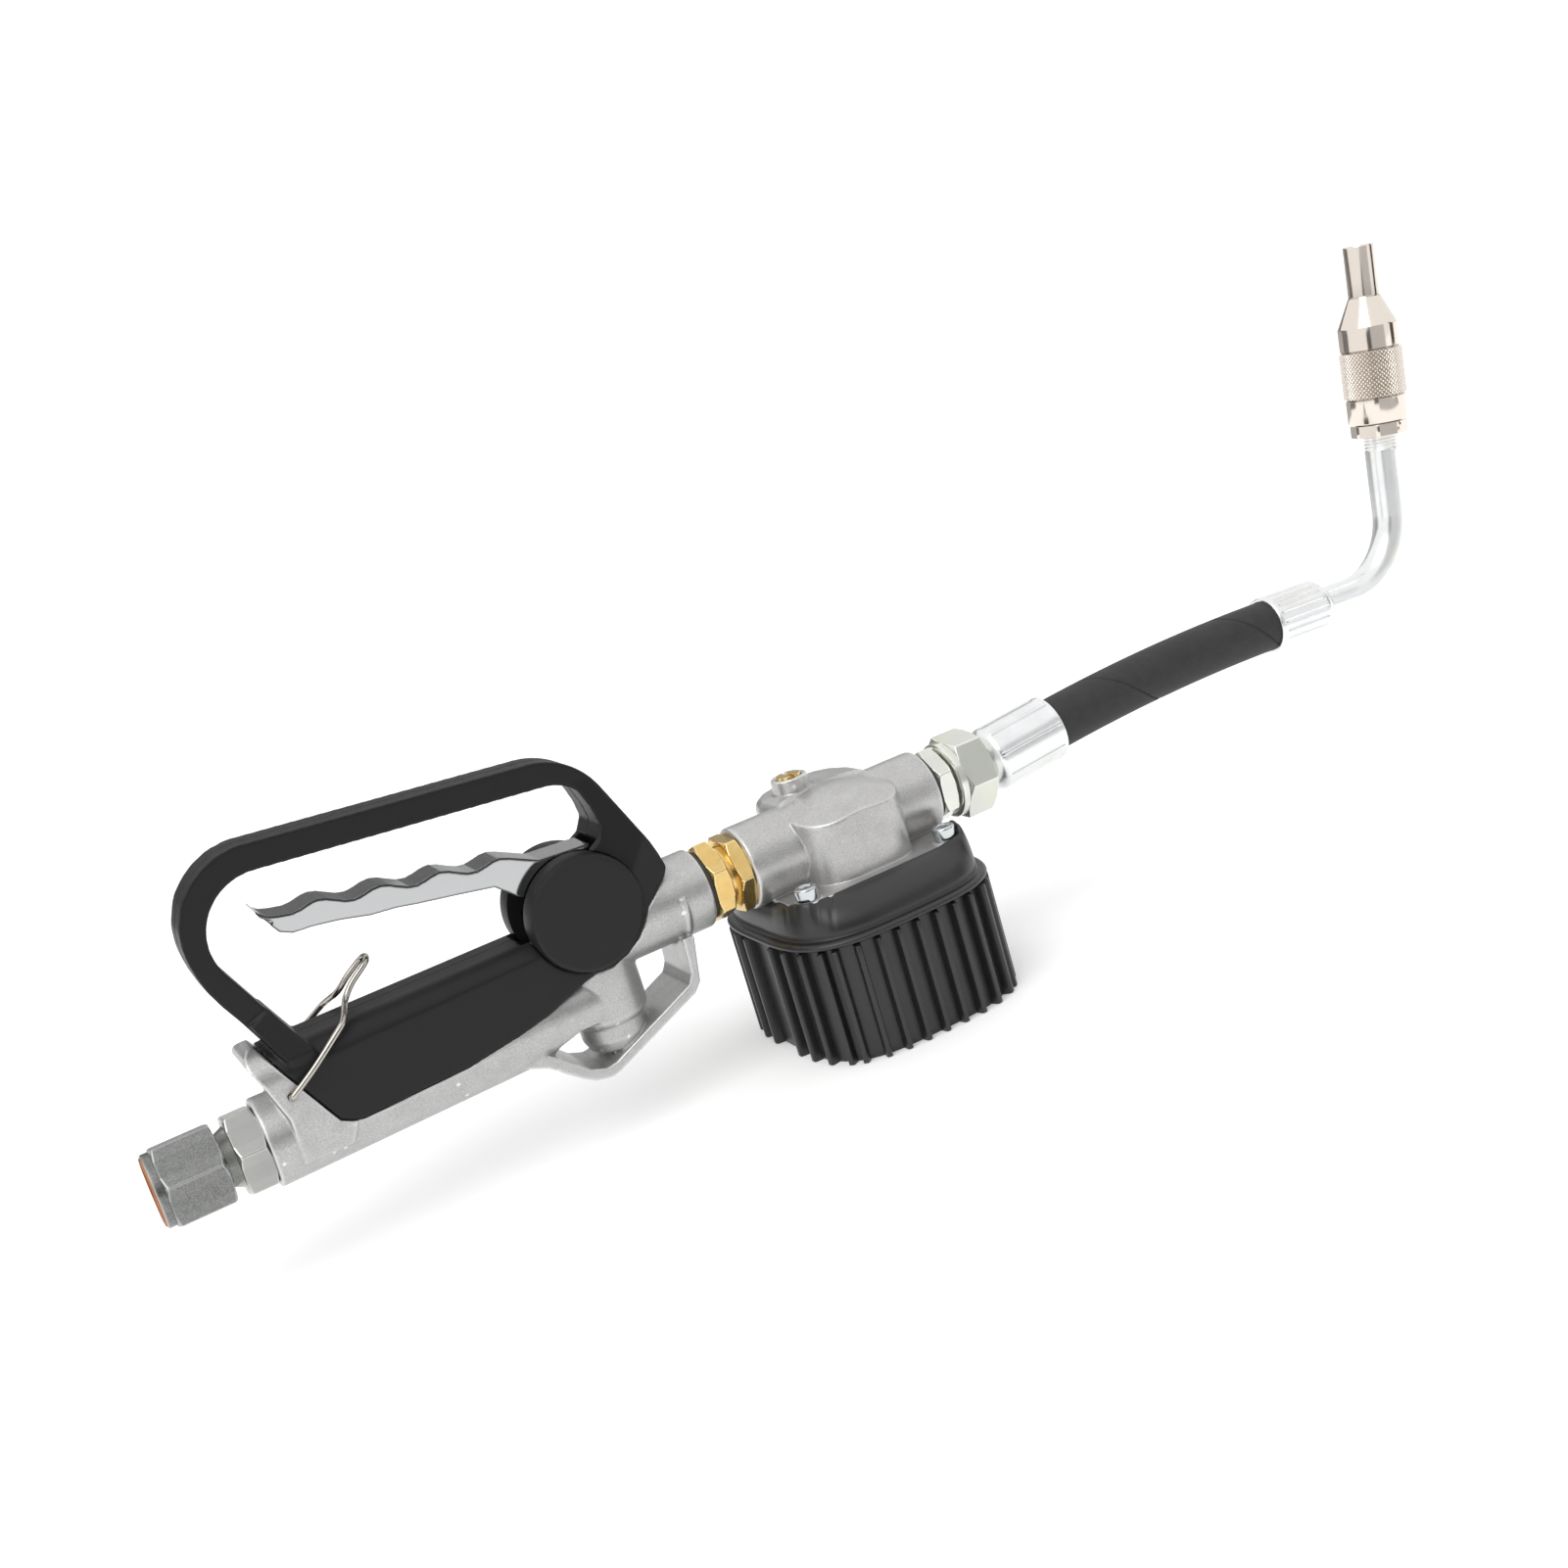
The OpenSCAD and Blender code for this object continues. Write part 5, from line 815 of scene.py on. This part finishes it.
def staged(name, corners, grey):
    """Flat matt quad for the floor and the cards; returns it and its shader."""
    ob = new_object(name, corners, [(0, 1, 2, 3)], None)
    m = bpy.data.materials.new(name)
    m.use_nodes = True
    shader = m.node_tree.nodes["Principled BSDF"]
    shader.inputs["Base Color"].default_value = (grey, grey, grey, 1)
    shader.inputs["Roughness"].default_value = 1.0
    shader.inputs["Specular IOR Level"].default_value = 0.0
    ob.data.materials.append(m)
    return ob, shader


GROUND = FOOT * MM
FAR = 60.0
floor_shader = staged("floor", [(-FAR, -FAR, GROUND), (FAR, -FAR, GROUND), (FAR, FAR, GROUND),
                                (-FAR, FAR, GROUND)], 0.93)[1]
floor_tree = floor_shader.id_data
floor_shader.inputs["Emission Color"].default_value = (1, 1, 1, 1)
lift = floor_tree.nodes.new("ShaderNodeMath")
lift.operation = "MULTIPLY"
floor_tree.links.new(seen_rays(floor_tree), lift.inputs[0])
lift.inputs[1].default_value = 0.20
floor_tree.links.new(lift.outputs[0], floor_shader.inputs["Emission Strength"])


def card(name, corners, grey):
    """Grey card that only shows as a reflection in metal and plastic."""
    ob = staged(name, corners, grey)[0]
    ob.visible_camera = ob.visible_diffuse = ob.visible_shadow = False


def upright(name, start, end, z0, z1, grey):
    (xa, ya), (xb, yb) = start, end
    card(name, [(xa, ya, z0), (xb, yb, z0), (xb, yb, z1), (xa, ya, z1)], grey)


upright("card_front", (-0.75, -1.15), (0.75, -1.15), GROUND, 0.60, 0.12)
upright("card_right", (1.45, -0.75), (1.62, -0.40), GROUND, 0.75, 0.06)
upright("card_tip", (0.34, -0.35), (0.71, -0.35), 0.0, 0.30, 0.66)
upright("card_back", (-1.0, 1.15), (1.0, 1.15), GROUND, 0.60, 0.20)
upright("card_back_tip", (0.30, 0.60), (0.75, 0.45), -0.02, 0.22, 0.45)
low = GROUND + 0.002
card("card_low", [(0.25, -0.50, low), (0.0, -1.1, low), (1.3, -0.9, low), (0.9, -0.35, low)], 0.50)
low += 0.002
card("card_strip", [(0.90, -0.35, low), (1.30, -0.90, low), (1.36, -0.87, low), (0.95, -0.33, low)],
     0.10)

# ------------------------------------------------------------------ light
world = bpy.data.worlds.new("studio")
bpy.context.scene.world = world
world.use_nodes = True
nt = world.node_tree
nt.nodes.clear()


def node(kind, **values):
    n = nt.nodes.new(kind)
    for name, value in values.items():
        setattr(n, name, value)
    return n


coord = node("ShaderNodeTexCoord")


def lobe(direction, inner, outer):
    """1 inside an angle round a direction, 0 outside a wider one."""
    norm = node("ShaderNodeVectorMath", operation="NORMALIZE")
    dot = node("ShaderNodeVectorMath", operation="DOT_PRODUCT")
    nt.links.new(coord.outputs["Generated"], norm.inputs[0])
    nt.links.new(norm.outputs["Vector"], dot.inputs[0])
    dot.inputs[1].default_value = Vector(direction).normalized()
    mr = node("ShaderNodeMapRange", interpolation_type="SMOOTHSTEP")
    mr.inputs["From Min"].default_value = math.cos(math.radians(outer))
    mr.inputs["From Max"].default_value = math.cos(math.radians(inner))
    nt.links.new(dot.outputs["Value"], mr.inputs["Value"])
    return mr.outputs["Result"]


def sky(base, lobes):
    """Brightness: a base level plus (direction, inner, outer, strength) lobes."""
    total = base
    for direction, inner, outer, strength in lobes:
        n = node("ShaderNodeMath", operation="MULTIPLY_ADD")
        nt.links.new(lobe(direction, inner, outer), n.inputs[0])
        n.inputs[1].default_value = strength
        if isinstance(total, float):
            n.inputs[2].default_value = total
        else:
            nt.links.new(total, n.inputs[2])
        total = n.outputs[0]
    return total


# white where it is seen or reflected, soft light from above and the sides elsewhere
seen, lighting = node("ShaderNodeBackground"), node("ShaderNodeBackground")
for background in (seen, lighting):
    background.inputs["Color"].default_value = (1, 1, 1, 1)
nt.links.new(sky(0.30, [((0, 0, 1), 5, 100, 0.55), ((-0.9, -0.5, 0.5), 10, 45, 0.8),
                        ((0.95, -0.35, 0.35), 8, 38, 0.5), ((0.1, 0.9, 0.4), 10, 60, 0.3)]),
             lighting.inputs["Strength"])
pick, out = node("ShaderNodeMixShader"), node("ShaderNodeOutputWorld")
nt.links.new(seen_rays(nt), pick.inputs["Fac"])
nt.links.new(lighting.outputs[0], pick.inputs[1])
nt.links.new(seen.outputs[0], pick.inputs[2])
nt.links.new(pick.outputs[0], out.inputs["Surface"])

key = bpy.data.lights.new("key", "SUN")
key.energy = 0.8
key.angle = math.radians(40)
lamp = bpy.data.objects.new("key", key)
lamp.rotation_euler = Vector((0.55, 0.45, -0.95)).to_track_quat("-Z", "Y").to_euler()
bpy.context.scene.collection.objects.link(lamp)

# ------------------------------------------------------------------ camera, solved from the photograph
RIGHT = Vector((0.85545904, -0.43765745, -0.27684977))
UP = Vector((0.35794536, 0.11336113, 0.92683568))
BACK = Vector((-0.37425253, -0.89196705, 0.25363326))
PLACE = Vector((-0.021257, -0.662337, 0.233819))

cam = bpy.data.cameras.new("camera")
cam.sensor_width = 36.0
cam.lens = 46.04
cam.clip_start = 0.01
cam.clip_end = 200
camera = bpy.data.objects.new("camera", cam)
camera.matrix_world = Matrix([(RIGHT[k], UP[k], BACK[k], PLACE[k]) for k in range(3)] + [(0, 0, 0, 1)])
bpy.context.scene.collection.objects.link(camera)
bpy.context.scene.camera = camera
bpy.context.scene.view_settings.view_transform = "Standard"
